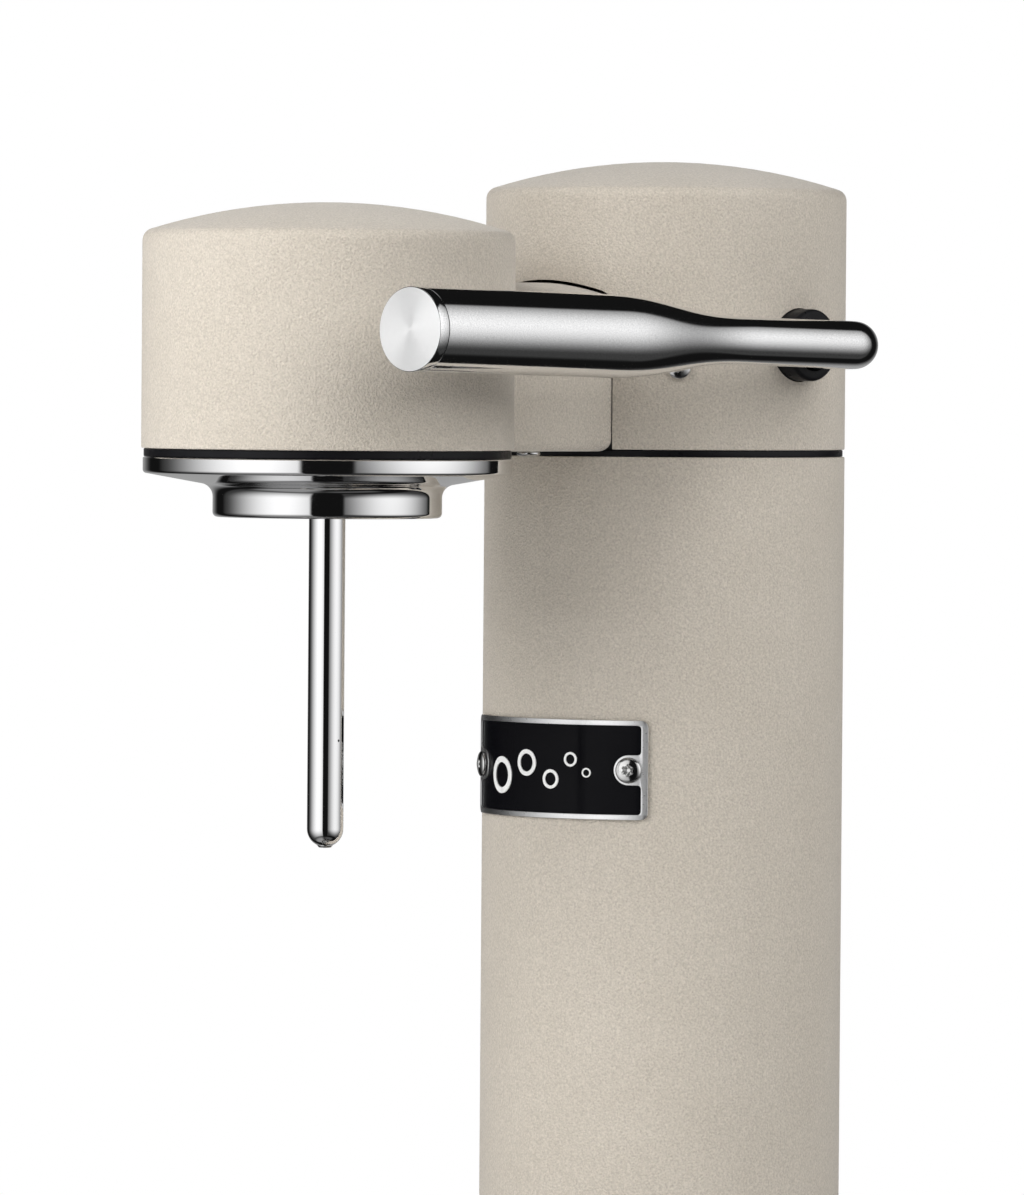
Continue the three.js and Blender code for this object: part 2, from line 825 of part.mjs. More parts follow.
function axleClip() {
  const outline = new THREE.Shape();
  const [from, to] = [radians(clip.opening), radians(360 - clip.opening)];
  outline.absarc(0, 0, axle.radius + clip.reach, from, to, false);
  outline.absarc(0, 0, axle.radius - clip.depth + seam, to, from, true);
  const start = clipGroove + seam;
  return piece("axle_clip", alongX(raised(outline, start, start + clip.width, 8)), "steel");
}

function axleBearings() {
  const inside = chassis.halfWidth - chassis.wall - over;
  const outside = chassis.halfWidth + seam;
  return [-1, 1].map((side, i) => {
    const profile = [
      [bearing.inner, side * inside],
      [bearing.outer, side * inside],
      [bearing.outer, side * outside],
      [bearing.flange, side * outside],
      [bearing.flange, side * (outside + bearing.flangeWidth)],
      [bearing.inner, side * (outside + bearing.flangeWidth)],
    ];
    const geometry = alongX(turned(profile, small));
    return piece(["axle_bearing_left", "axle_bearing_right"][i], geometry, "plastic");
  });
}

function pivotBush() {
  const { radius, inner, from, to, chamfer } = bush;
  const profile = [
    [inner, from],
    [radius, from],
    [radius, to - chamfer],
    [radius - chamfer, to],
    [inner, to],
  ];
  return piece("pivot_bush", alongX(turned(profile, round)), "black");
}

// ---- Head ----

// Half section of the flange, its underside sloping in to a fillet above the short collar.
function collarProfile() {
  const { flange, flangeEdge, outer, inner, bottom, edge, fillet, filletTop, slopeStart } = collar;
  return [
    [inner, flangeTop],
    [flange, flangeTop],
    [flange, flangeEdge + edge],
    [flange - edge, slopeStart],
    ...arc([outer + fillet, filletTop - fillet], fillet, 100, 180, 2),
    [outer, bottom + edge],
    [outer - edge, bottom],
    [inner + edge, bottom],
    [inner, bottom + edge],
  ];
}

function mouthCollar() {
  const bosses = collarScrewPlaces.map((place) => discAt(place, collar.boss, flangeTop - over, block.top));
  const holes = collarScrewPlaces.map((place) =>
    discAt(place, screws.collar.shank + fit, flangeTop - over, block.top + over),
  );
  return piece("mouth_collar", cut(join(turned(collarProfile()), ...bosses), ...holes), "chrome");
}

function collarScrews() {
  const seat = floorTop + seam;
  return collarScrewPlaces.map(([x, y], i) =>
    piece(`collar_screw_${i + 1}`, screw(screws.collar).translate(x, y, seat), "steel"),
  );
}

function headGasket() {
  const outer = bodyRadius - gasket.headInset;
  const geometry = ring(gasket.headInner, outer, flangeTop + seam, shellBottom - seam);
  return piece("head_gasket", geometry, "rubber");
}

function bottleSeal() {
  const top = manifold.flangeBottom - seam;
  const geometry = ring(manifold.boss + seal.gap, collar.inner - fit, top - seal.height, top, round);
  return piece("bottle_seal", geometry, "rubber");
}

function manifoldBody() {
  const { flange, flangeBottom, boss, bossBottom, stack, stackTop, gasWay, port, portDepth } = manifold;
  const bore = nozzle.radius + seam * 2;
  const boreTop = nozzle.top + fit;
  const profile = [
    [bore, bossBottom],
    [boss, bossBottom],
    [boss, flangeBottom],
    [flange, flangeBottom],
    [flange, block.top],
    [stack, block.top],
    [stack, stackTop],
    [gasWay, stackTop],
    [gasWay, boreTop],
    [bore, boreTop],
  ];
  const inlet = aimed(disc(port, stack - portDepth, stack + over, tiny), [0, 1, 0], [0, 0, hose.height]);
  return piece("manifold", cut(turned(profile, round), inlet), "plastic");
}

function nozzleTube() {
  const { radius, bore, end, rounding, top } = nozzle;
  const turn = THREE.MathUtils.radToDeg(Math.asin(rounding / radius));
  const profile = [
    ...arc([0, end + rounding], radius, -turn, 0, 5),
    [radius, top],
    [bore, top],
    [bore, end + over],
  ];
  return piece("nozzle_tube", turned(profile, small), "chrome");
}

function nozzleTip() {
  const { radius, bore, bottom, edge, length } = jet;
  const waist = Math.sqrt(nozzle.radius ** 2 - nozzle.rounding ** 2) - seam;
  const shoulder = nozzle.end + over + seam;
  const profile = [
    [bore, bottom],
    [waist - edge, bottom],
    [waist, bottom + edge],
    [waist, shoulder],
    [radius, shoulder],
    [radius, bottom + length],
    [bore, bottom + length],
  ];
  return piece("nozzle_tip", turned(profile, tiny), "steel");
}

const reliefBottom = manifold.stackTop + seam;
const reliefSeat = reliefBottom + relief.floor;
const reliefTop = reliefBottom + relief.height;
const poppetTop = reliefSeat + fit + relief.poppetHeight;

function reliefBody() {
  const { radius, bore } = relief;
  const profile = [
    [manifold.gasWay, reliefBottom],
    [radius, reliefBottom],
    [radius, reliefTop],
    [bore, reliefTop],
    [bore, reliefSeat],
    [manifold.gasWay, reliefSeat],
  ];
  return piece("relief_body", turned(profile, small), "brass");
}

function reliefPoppet() {
  const { poppet, stemAbove } = relief;
  const profile = [
    [0, reliefSeat + fit],
    [poppet, reliefSeat + fit],
    [poppet, poppetTop],
    [relief.stem, poppetTop],
    [relief.stem, reliefTop + stemAbove],
    [0, reliefTop + stemAbove],
  ];
  return piece("relief_poppet", turned(profile, tiny), "brass");
}

function reliefSpring() {
  const { radius, wire, turns } = relief.coil;
  const top = reliefTop - relief.cap - seam;
  return piece("relief_spring", coil(radius, wire, poppetTop + seam, top, turns), "steel");
}

function reliefCap() {
  const geometry = ring(relief.stem + fit, relief.bore - seam * 2, reliefTop - relief.cap, reliefTop, tiny);
  return piece("relief_cap", geometry, "brass");
}

// ---- Gas line ----

// A barb standing on z = 0, its thread going down to a depth.
function barbShape(threadDepth) {
  const { bore, thread, hex, hexHeight, radius, length } = barb;
  const start = Math.min(-threadDepth, 0);
  const profile = [
    [bore, start],
    [thread, start],
    [thread, 0],
    [hex, 0],
    [hex, hexHeight],
    [radius, hexHeight],
    [radius, length],
    [bore, length],
  ];
  return turned(profile, tiny);
}

function hoseBarbs() {
  const rear = barbShape(block.portDepth - fit).translate(hose.x, hose.y, block.top + seam);
  const front = aimed(barbShape(0), [0, 1, 0], [0, manifold.stack + seam, hose.height]);
  return [piece("hose_barb_rear", rear, "brass"), piece("hose_barb_front", front, "brass")];
}

// The hose climbs off the valve block, bends forward through the neck and ends on the manifold's barb.
function gasHose() {
  const { radius, bore, height, x, y, bend, inNeck } = hose;
  const start = barb.hexHeight + fit + seam;
  const points = [
    [x, y, block.top + start],
    [x, y, height - bend],
    [x, y - bend, height],
    ...inNeck.map((place) => [...place, height]),
    [0, manifold.stack + start, height],
  ].map((point) => new THREE.Vector3(...point));
  const section = new THREE.Shape().absarc(0, 0, radius, 0, Math.PI * 2, false);
  section.holes.push(new THREE.Path().absarc(0, 0, bore, 0, Math.PI * 2, true));
  const extrudePath = new THREE.CatmullRomCurve3(points, false, "centripetal");
  const options = { steps: 16, extrudePath, curveSegments: 4, bevelEnabled: false };
  return piece("gas_hose", new THREE.ExtrudeGeometry(section, options), "rubber");
}

// ---- Assembly ----

const machine = new THREE.Group();

const pivot = new THREE.Group();
pivot.position.set(0, spacing, pivotZ);
pivot.add(axleShaft(), ...camPieces(), axleClip(), ...axleBearings(), pivotBush());

const handle = new THREE.Group();
handle.rotation.x = -radians(lever.tilt);
handle.add(...leverPieces());
pivot.add(handle);

machine.add(
  basePad(),
  baseShell(),
  ...baseScrews(),
  dripTray(),
  towerTube(),
  badgePlate(),
  ...badgeScrews(),
  towerFootRing(),
  cylinderGuide(),
  towerCollar(),
  towerGasket(),
  gasCylinder(),
  cylinderValve(),
  valveStem(),
  valveBlock(),
  valvePin(),
  returnSpring(),
  capShell(),
  ...capScrews(),
  headShell(),
  headGasket(),
  neckCover(),
  ...neckScrews(),
  chassisFrame(),
  ...frameScrews(),
  pivot,
  mouthCollar(),
  ...collarScrews(),
  bottleSeal(),
  manifoldBody(),
  nozzleTube(),
  nozzleTip(),
  reliefBody(),
  reliefPoppet(),
  reliefSpring(),
  reliefCap(),
  ...hoseBarbs(),
  gasHose(),
);

export default machine;
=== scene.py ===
import json
import math

import bmesh
import bpy
from mathutils import Matrix, Quaternion, Vector


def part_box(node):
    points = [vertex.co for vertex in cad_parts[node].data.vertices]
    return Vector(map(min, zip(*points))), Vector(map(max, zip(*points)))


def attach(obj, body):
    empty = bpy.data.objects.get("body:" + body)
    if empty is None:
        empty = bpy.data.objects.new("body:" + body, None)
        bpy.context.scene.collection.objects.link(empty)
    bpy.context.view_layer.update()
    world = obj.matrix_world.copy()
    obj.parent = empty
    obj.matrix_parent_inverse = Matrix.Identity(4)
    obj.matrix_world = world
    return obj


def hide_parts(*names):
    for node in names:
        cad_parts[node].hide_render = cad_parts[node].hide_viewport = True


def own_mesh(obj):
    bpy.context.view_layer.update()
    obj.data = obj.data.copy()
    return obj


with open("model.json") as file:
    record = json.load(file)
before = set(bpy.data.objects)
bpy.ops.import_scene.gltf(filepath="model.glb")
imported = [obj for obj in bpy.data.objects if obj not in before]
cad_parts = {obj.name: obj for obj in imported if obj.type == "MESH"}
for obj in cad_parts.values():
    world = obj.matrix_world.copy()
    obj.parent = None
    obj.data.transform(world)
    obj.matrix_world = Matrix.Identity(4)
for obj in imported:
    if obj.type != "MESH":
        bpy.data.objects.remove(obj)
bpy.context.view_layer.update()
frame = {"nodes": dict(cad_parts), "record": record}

MM = 0.001


# ---- Places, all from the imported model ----


def box_mm(node):
    """Lowest and highest corner of a node, in millimetres."""
    low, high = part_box(node)
    return low / MM, high / MM


def middle(node):
    low, high = box_mm(node)
    return (low + high) / 2


# The head stands round the Z axis, and the column's axis is SPACING behind it.
BODY_RADIUS = (box_mm("tower_tube")[1].x - box_mm("tower_tube")[0].x) / 2
SPACING = middle("tower_tube").y
HEAD = Vector((0, 0, 0))
COLUMN = Vector((0, SPACING, 0))
PIVOT = Vector((0, SPACING, middle("pivot_bush").z))
UP = Vector((0, 0, 1))
ACROSS = Vector((1, 0, 0))
BEHIND = Vector((0, 1, 0))

# The painted shells: their walls, and the radii of their domed tops and of the edges round those.
WALL = 1.6
DOME_RADIUS = 142.0
DOME_EDGE = 3.0

# The neck: its gaps beside and above in the shells' notches, and how far its ends reach into them.
NECK_CLEARANCE = 0.3
NECK_HEADROOM = 0.5
NECK_ENTRY = 0.4


# ---- Outlines ----


def arc(centre, radius, start, end, steps):
    """Points of an arc between two angles in degrees."""
    angles = [math.radians(start + (end - start) * i / steps) for i in range(steps + 1)]
    return [(centre[0] + radius * math.cos(a), centre[1] + radius * math.sin(a)) for a in angles]


def rounded(corners, steps=6):
    """A closed outline from corners (x, y) or (x, y, fillet radius), with each fillet as an arc."""
    outline = []
    count = len(corners)
    for i, corner in enumerate(corners):
        point = Vector(corner[:2])
        if len(corner) < 3:
            outline.append(tuple(point))
            continue
        before = (Vector(corners[i - 1][:2]) - point).normalized()
        after = (Vector(corners[(i + 1) % count][:2]) - point).normalized()
        half = before.angle(after) / 2
        middle_line = (before + after).normalized()
        centre = point + middle_line * corner[2] / math.sin(half)
        reach = corner[2] / math.tan(half)
        start = point + before * reach - centre
        turn = start.angle_signed(point + after * reach - centre)
        for step in range(steps + 1):
            outline.append(tuple(centre + Matrix.Rotation(-turn * step / steps, 2) @ start))
    return outline


def crown(half_width, top, radius, edge, steps=8):
    """Half of a crowned outline, from its side over a filleted edge to the middle of its crown."""
    centre_z = top - radius
    rise = math.sqrt((radius - edge) ** 2 - (half_width - edge) ** 2)
    turn = math.degrees(math.atan2(rise, half_width - edge))
    fillet = arc((half_width - edge, centre_z + rise), edge, 0, turn, steps)
    return fillet + arc((0, centre_z), radius, turn, 90, steps)[1:]


def circle(centre, radius, steps=24):
    return arc(centre, radius, 0, 360 - 360 / steps, steps - 1)


def pear(front_radius, rear_radius, steps=64):
    """The hull of two circles: one round the nozzle's axis and one round the column's."""
    slant = math.degrees(math.asin((front_radius - rear_radius) / SPACING))
    rear = arc((0, SPACING), rear_radius, slant, 180 - slant, steps)
    return rear + arc((0, 0), front_radius, 180 - slant, 360 + slant, steps)


# ---- Meshes ----


def new_object(name, data):
    """A new object in the scene."""
    obj = bpy.data.objects.new(name, data)
    bpy.context.scene.collection.objects.link(obj)
    return obj


def smooth(mesh, sharp=35):
    """Shades a mesh smooth except across edges sharper than an angle."""
    mesh.shade_smooth()
    mesh.set_sharp_from_angle(angle=math.radians(sharp))


def baked(obj):
    """The mesh that an object's modifiers or curve settings make."""
    bpy.context.view_layer.update()
    return bpy.data.meshes.new_from_object(obj.evaluated_get(bpy.context.evaluated_depsgraph_get()))


def to_object(name, bm, sharp=35):
    """An object from a bmesh in millimetres."""
    bmesh.ops.remove_doubles(bm, verts=bm.verts, dist=1e-4)
    bmesh.ops.recalc_face_normals(bm, faces=bm.faces)
    mesh = bpy.data.meshes.new(name)
    bm.to_mesh(mesh)
    bm.free()
    mesh.transform(Matrix.Scale(MM, 4))
    smooth(mesh, sharp)
    return new_object(name, mesh)


def skin(rings, ends="capped"):
    """A bmesh over successive rings of points, whose two ends are capped, joined or left open."""
    bm = bmesh.new()
    loops = [[bm.verts.new(point) for point in ring] for ring in rings]
    pairs = list(zip(loops, loops[1:]))
    if ends == "joined":
        pairs.append((loops[-1], loops[0]))
    for lower, upper in pairs:
        count = max(len(lower), len(upper))
        for i in range(count):
            j = (i + 1) % count
            near = [lower[i % len(lower)], lower[j % len(lower)]]
            far = [upper[j % len(upper)], upper[i % len(upper)]]
            unique = list(dict.fromkeys(near + far))
            if len(unique) > 2:
                bm.faces.new(unique)
    if ends == "capped":
        bm.faces.new(loops[0])
        bm.faces.new(loops[-1])
    return bm


def spun(profile, place=(0, 0, 0), direction=UP, sides=128):
    """A bmesh of revolution about a direction through a place, from a closed (radius, height) outline."""
    rings = []
    for radius, height in profile:
        if radius < 1e-6:
            rings.append([(0, 0, height)])
            continue
        angles = [2 * math.pi * i / sides for i in range(sides)]
        rings.append([(radius * math.cos(a), radius * math.sin(a), height) for a in angles])
    on_axis = len(rings[0]) == 1 and len(rings[-1]) == 1
    bm = skin(rings, "open" if on_axis else "joined")
    turn = UP.rotation_difference(Vector(direction)).to_matrix().to_4x4()
    bm.transform(Matrix.Translation(Vector(place)) @ turn)
    return bm


def lathe(name, profile, place=(0, 0, 0), direction=UP, sides=128, sharp=35):
    """An object of revolution from a closed (radius, height) outline."""
    return to_object(name, spun(profile, place, direction, sides), sharp)


def stacked(outlines):
    """A bmesh from outlines at heights, [(points, z), ...], capped at both ends."""
    return skin([[(x, y, z) for x, y in points] for points, z in outlines])


def cut(obj, *tools):
    """Removes each tool from an object for good, and the tools with it."""
    for tool in tools:
        modifier = obj.modifiers.new("cut", "BOOLEAN")
        modifier.operation = "DIFFERENCE"
        modifier.solver = "EXACT"
        modifier.object = tool
    mesh = baked(obj)
    obj.modifiers.clear()
    obj.data = mesh
    smooth(mesh)
    for tool in tools:
        bpy.data.objects.remove(tool)
    return obj


def drum(radius, low, high, place=(0, 0, 0), direction=UP, sides=64):
    """A plain round cutter."""
    return lathe("cutter", [(0, low), (radius, low), (radius, high), (0, high)], place, direction, sides)


def block(low, high):
    """A plain square cutter."""
    bm = bmesh.new()
    bmesh.ops.create_cube(bm, size=1)
    size = Vector(high) - Vector(low)
    bm.transform(Matrix.Translation((Vector(low) + Vector(high)) / 2) @ Matrix.Diagonal(size).to_4x4())
    return to_object("cutter", bm)


def show(obj, body, material, slot, *nodes):
    """Gives a piece its material and the body that it moves with, and hides the imported nodes that it
    stands for.
    """
    obj.data.materials.clear()
    obj.data.materials.append(material)
    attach(obj, body)
    if nodes:
        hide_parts(*nodes)
    return obj


# ---- Materials ----


def constants(node, **values):
    """Sets inputs of a node, named with underscores for spaces, and gives the node back."""
    for name, value in values.items():
        node.inputs[name.replace("_", " ")].default_value = value
    return node


class Surface:
    """A material on the way: its nodes, its shader and object coordinates in metres, so that a noise
    scale of 1000 gives lumps about a millimetre apart. Its own colour and roughness are averages."""

    def __init__(self, name, colour, roughness, metallic=0.0):
        self.material = bpy.data.materials.new(name)
        self.material.use_nodes = True
        self.nodes = self.material.node_tree.nodes
        self.links = self.material.node_tree.links
        self.shader = self.nodes["Principled BSDF"]
        constants(self.shader, Base_Color=(*colour, 1), Roughness=roughness, Metallic=metallic)
        self.coords = self.nodes.new("ShaderNodeTexCoord").outputs["Object"]

    def stretched(self, factors):
        """Object coordinates scaled along each axis, for grain that runs one way."""
        mapping = constants(self.nodes.new("ShaderNodeMapping"), Scale=factors)
        self.links.new(self.coords, mapping.inputs["Vector"])
        return mapping.outputs["Vector"]

    def noise(self, scale, detail=2.0, coords=None):
        """A value round the middle of 0 to 1 that varies over the surface."""
        node = constants(self.nodes.new("ShaderNodeTexNoise"), Scale=scale, Detail=detail)
        self.links.new(coords or self.coords, node.inputs["Vector"])
        return node.outputs["Fac"]

    def spread(self, value, low, high):
        """The middle of a noise's range turned into low to high."""
        node = self.nodes.new("ShaderNodeMapRange")
        constants(node, From_Min=0.3, From_Max=0.7, To_Min=low, To_Max=high)
        self.links.new(value, node.inputs["Value"])
        return node.outputs["Result"]

    def tint(self, value, dark, light, under=None):
        """Base colour between two colours by a value, multiplied onto a colour under it if one is given."""
        node = self.nodes.new("ShaderNodeMix")
        node.data_type = "RGBA"
        constants(node, A=(*dark, 1), B=(*light, 1))
        self.links.new(value, node.inputs["Factor"])
        result = node.outputs["Result"]
        if under is not None:
            product = self.nodes.new("ShaderNodeMix")
            product.data_type = "RGBA"
            product.blend_type = "MULTIPLY"
            product.inputs["Factor"].default_value = 1
            self.links.new(under, product.inputs["A"])
            self.links.new(result, product.inputs["B"])
            result = product.outputs["Result"]
        self.links.new(result, self.shader.inputs["Base Color"])
        return result

    def rough(self, value, low, high):
        """Roughness from low to high by a noise."""
        self.links.new(self.spread(value, low, high), self.shader.inputs["Roughness"])

    def bump(self, height, strength, depth, over=None):
        """Relief of a depth in metres, laid over another relief if one is given."""
        node = constants(self.nodes.new("ShaderNodeBump"), Strength=strength, Distance=depth)
        self.links.new(height, node.inputs["Height"])
        if over is not None:
            self.links.new(over, node.inputs["Normal"])
        self.links.new(node.outputs["Normal"], self.shader.inputs["Normal"])
        return node.outputs["Normal"]

    def set(self, **values):
        """Constants on the shader's own sockets."""
        constants(self.shader, **values)


def powder_coat():
    """Matt sand-coloured powder coat: a leathery orange-peel texture with fine darker grit."""
    s = Surface("sand_powder_coat", (0.540, 0.491, 0.425), roughness=0.7)
    peel = s.noise(1900)
    grit = s.noise(2600, 3.0)
    clouds = s.noise(45)
    base = s.tint(s.spread(peel, 0, 1), (0.460, 0.418, 0.361), (0.620, 0.564, 0.490))
    speckled = s.tint(s.spread(grit, 0, 1), (0.88, 0.873, 0.86), (1.02, 1.02, 1.02), under=base)
    s.tint(s.spread(clouds, 0, 1), (0.965, 0.962, 0.955), (1, 1, 1), under=speckled)
    s.rough(grit, 0.6, 0.78)
    leather = s.bump(peel, strength=1.0, depth=0.3 * MM)
    s.bump(grit, strength=0.7, depth=0.12 * MM, over=leather)
    s.set(Specular_IOR_Level=0.5, Sheen_Weight=0.25, Sheen_Roughness=0.45)
    return s.material


def chrome():
    """Mirror chrome with a breath of haze and faint polishing waves."""
    s = Surface("mirror_chrome", (0.83, 0.83, 0.835), roughness=0.04, metallic=1.0)
    s.rough(s.noise(300, 3.0), 0.025, 0.07)
    s.tint(s.noise(20), (0.80, 0.80, 0.81), (0.87, 0.87, 0.87))
    s.bump(s.noise(90, 1.0), strength=0.05, depth=0.04 * MM)
    return s.material


def satin_steel():
    """Satin steel with a fine even blasted grain."""
    s = Surface("satin_steel", (0.92, 0.92, 0.92), roughness=0.08, metallic=1.0)
    grain = s.noise(3600, 3.0)
    s.tint(s.spread(grain, 0, 1), (0.78, 0.78, 0.785), (0.99, 0.99, 0.99))
    s.rough(grain, 0.05, 0.11)
    s.bump(grain, strength=0.1, depth=0.01 * MM)
    return s.material


def turned_steel():
    """Bright faced steel whose tool marks run in fine circles, so that light fans out across it.
    It is partly matt, so that it stays bright where the studio is dark."""
    s = Surface("turned_steel", (0.97, 0.97, 0.97), roughness=0.3, metallic=0.78)
    tangent = s.nodes.new("ShaderNodeTangent")
    tangent.direction_type = "RADIAL"
    tangent.axis = "Y"
    s.links.new(tangent.outputs["Tangent"], s.shader.inputs["Tangent"])
    s.rough(s.noise(900), 0.32, 0.38)
    s.tint(s.noise(700), (0.94, 0.94, 0.94), (0.99, 0.99, 0.99))
    s.set(Anisotropic=0.97, Anisotropic_Rotation=0.25)
    return s.material


def plain_steel():
    """Zinc-plated or stainless fasteners and springs."""
    s = Surface("plain_steel", (0.66, 0.66, 0.65), roughness=0.25, metallic=1.0)
    s.rough(s.noise(800, 3.0), 0.16, 0.34)
    s.tint(s.noise(260), (0.58, 0.58, 0.575), (0.74, 0.74, 0.73))
    s.bump(s.noise(1600), strength=0.08, depth=0.02 * MM)
    return s.material


def tray_steel():
    """Polished stainless sheet with light wear where glasses stand."""
    s = Surface("tray_steel", (0.70, 0.70, 0.69), roughness=0.18, metallic=1.0)
    wear = s.noise(55, 4.0)
    s.tint(s.spread(wear, 0, 1), (0.64, 0.64, 0.63), (0.76, 0.76, 0.75))
    s.rough(wear, 0.12, 0.26)
    s.bump(s.noise(500), strength=0.06, depth=0.03 * MM)
    return s.material


def black_rubber():
    """Dull black rubber, a little dusty."""
    s = Surface("black_rubber", (0.016, 0.016, 0.017), roughness=0.55)
    s.rough(s.noise(700, 3.0), 0.42, 0.62)
    s.tint(s.noise(120), (0.012, 0.012, 0.013), (0.024, 0.024, 0.025))
    s.bump(s.noise(1400), strength=0.15, depth=0.04 * MM)
    return s.material


def black_plastic():
    """Moulded black plastic with a fine matt texture."""
    s = Surface("black_plastic", (0.006, 0.006, 0.007), roughness=0.35)
    s.rough(s.noise(500, 3.0), 0.26, 0.42)
    s.tint(s.noise(160), (0.004, 0.004, 0.005), (0.009, 0.009, 0.010))
    s.bump(s.noise(1800), strength=0.1, depth=0.03 * MM)
    s.set(Specular_IOR_Level=0.12)
    return s.material


def grey_plastic():
    """Dark grey moulded plastic."""
    s = Surface("grey_plastic", (0.075, 0.08, 0.085), roughness=0.55)
    s.rough(s.noise(500, 3.0), 0.45, 0.62)
    s.tint(s.noise(90), (0.06, 0.065, 0.07), (0.09, 0.095, 0.10))
    s.bump(s.noise(1500), strength=0.12, depth=0.04 * MM)
    return s.material


def black_enamel():
    """Glossy black enamel, slightly wavy where it pooled in the plate's recess."""
    s = Surface("black_enamel", (0.003, 0.003, 0.004), roughness=0.1)
    s.rough(s.noise(260), 0.08, 0.16)
    s.tint(s.noise(70), (0.002, 0.002, 0.003), (0.005, 0.005, 0.006))
    s.bump(s.noise(130, 1.0), strength=0.12, depth=0.06 * MM)
    s.set(Specular_IOR_Level=0.05)
    return s.material


def white_enamel():
    """White enamel of the badge's bubbles."""
    s = Surface("white_enamel", (0.80, 0.80, 0.79), roughness=0.3)
    s.rough(s.noise(400), 0.24, 0.38)
    s.tint(s.noise(200), (0.76, 0.76, 0.75), (0.84, 0.84, 0.83))
    s.bump(s.noise(900, 1.0), strength=0.06, depth=0.02 * MM)
    return s.material


def badge_metal():
    """The badge's bare metal rim, finely blasted."""
    s = Surface("badge_metal", (0.74, 0.74, 0.74), roughness=0.4, metallic=1.0)
    grain = s.noise(1800)
    s.rough(grain, 0.27, 0.37)
    s.tint(grain, (0.80, 0.80, 0.805), (0.96, 0.96, 0.96))
    s.bump(grain, strength=0.05, depth=0.01 * MM)
    return s.material


def polished_steel():
    """Small polished screw heads."""
    s = Surface("polished_steel", (0.72, 0.72, 0.715), roughness=0.12, metallic=1.0)
    s.rough(s.noise(600), 0.08, 0.16)
    s.tint(s.noise(300), (0.66, 0.66, 0.655), (0.78, 0.78, 0.775))
    s.bump(s.noise(900, 1.0), strength=0.05, depth=0.01 * MM)
    return s.material


def brass():
    """Machined brass, tarnished in places."""
    s = Surface("brass", (0.62, 0.46, 0.20), roughness=0.3, metallic=1.0)
    s.rough(s.noise(400, 3.0), 0.22, 0.4)
    s.tint(s.noise(110, 3.0), (0.50, 0.36, 0.15), (0.68, 0.51, 0.24))
    s.bump(s.noise(1200), strength=0.08, depth=0.03 * MM)
    return s.material


def cast_zinc():
    """Bare die-cast zinc with a grainy skin."""
    s = Surface("cast_zinc", (0.42, 0.43, 0.45), roughness=0.5, metallic=0.9)
    s.rough(s.noise(300, 3.0), 0.42, 0.6)
    s.tint(s.noise(130, 3.0), (0.36, 0.37, 0.39), (0.48, 0.49, 0.51))
    s.bump(s.noise(900, 3.0), strength=0.3, depth=0.08 * MM)
    return s.material


def drawn_aluminium():
    """The gas cylinder's skin, drawn along its length and scuffed where it slides in."""
    s = Surface("drawn_aluminium", (0.58, 0.60, 0.62), roughness=0.35, metallic=1.0)
    lines = s.noise(900, 3.0, s.stretched((1, 1, 0.03)))
    s.tint(s.spread(lines, 0, 1), (0.52, 0.54, 0.56), (0.64, 0.66, 0.68))
    s.rough(s.noise(140, 4.0), 0.28, 0.5)
    s.bump(lines, strength=0.1, depth=0.03 * MM)
    return s.material


FLOOR_GLOW = 0.4


def studio_floor():
    """Pale matt floor with a weak glow that only the camera sees, so that it stays pale all over."""
    s = Surface("studio_floor", (0.86, 0.86, 0.855), roughness=0.6)
    s.rough(s.noise(12), 0.55, 0.7)
    s.tint(s.noise(3), (0.85, 0.85, 0.845), (0.875, 0.875, 0.87))
    path = s.nodes.new("ShaderNodeLightPath")
    glow = s.nodes.new("ShaderNodeMath")
    glow.operation = "MULTIPLY"
    glow.inputs[1].default_value = FLOOR_GLOW
    s.links.new(path.outputs["Is Camera Ray"], glow.inputs[0])
    s.links.new(glow.outputs["Value"], s.shader.inputs["Emission Strength"])
    s.set(Emission_Color=(1, 1, 1, 1))
    return s.material


SAND = powder_coat()
CHROME = chrome()
SATIN = satin_steel()
TURNED = turned_steel()
STEEL = plain_steel()
POLISHED = polished_steel()
TRAY = tray_steel()
RUBBER = black_rubber()
BLACK = black_plastic()
GREY = grey_plastic()
ENAMEL = black_enamel()
WHITE = white_enamel()
BADGE = badge_metal()
BRASS = brass()
ZINC = cast_zinc()
ALUMINIUM = drawn_aluminium()


# ---- Foot ----


BASE_SCREWS = ["base_screw_1", "base_screw_2", "base_screw_3"]


def under(node):
    """The place on the ground below a node's middle."""
    return (middle(node).x, middle(node).y, 0)


def pear_stack(front, rear, levels):
    """A bmesh of the foot's outline at levels, [(inset, z), ...], drawn in by each inset."""
    return stacked([(pear(front - inset, rear - inset), z) for inset, z in levels])


def base_shell():
    """The foot's housing, with a round recess for the tray on top and a pocket round a boss below."""
    low, high = box_mm("base_shell")
    front, rear = -low.y, high.y - SPACING
    chamfer, edge = 0.5, 1.5
    rounding = arc((edge, high.z - edge), edge, 180, 90, 6)
    levels = [(chamfer, low.z), (0, low.z + chamfer)] + rounding
    shell = to_object("base_housing", pear_stack(front, rear, levels))
    tray_well, tray_gap, way_in, boss_radius, screw_well = 67, 0.3, 33, 44, 4.3
    recess = drum(tray_well, box_mm("drip_tray")[0].z - tray_gap, high.z + 5, sides=160)
    opening = drum(way_in, low.z - 5, high.z + 5, COLUMN, sides=128)
    skirt, pocket_top = 3, 9.5
    pocket = to_object("cutter", pear_stack(front, rear, [(skirt, low.z - 4), (skirt, pocket_top)]))
    boss = drum(boss_radius, -5, 30, COLUMN)
    wells = [drum(screw_well, 0, low.z + 2.9, under(n)) for n in BASE_SCREWS]
    cut(shell, recess, cut(pocket, boss), opening, *wells)
    show(shell, "machine", SAND, "sand_paint", "base_shell")


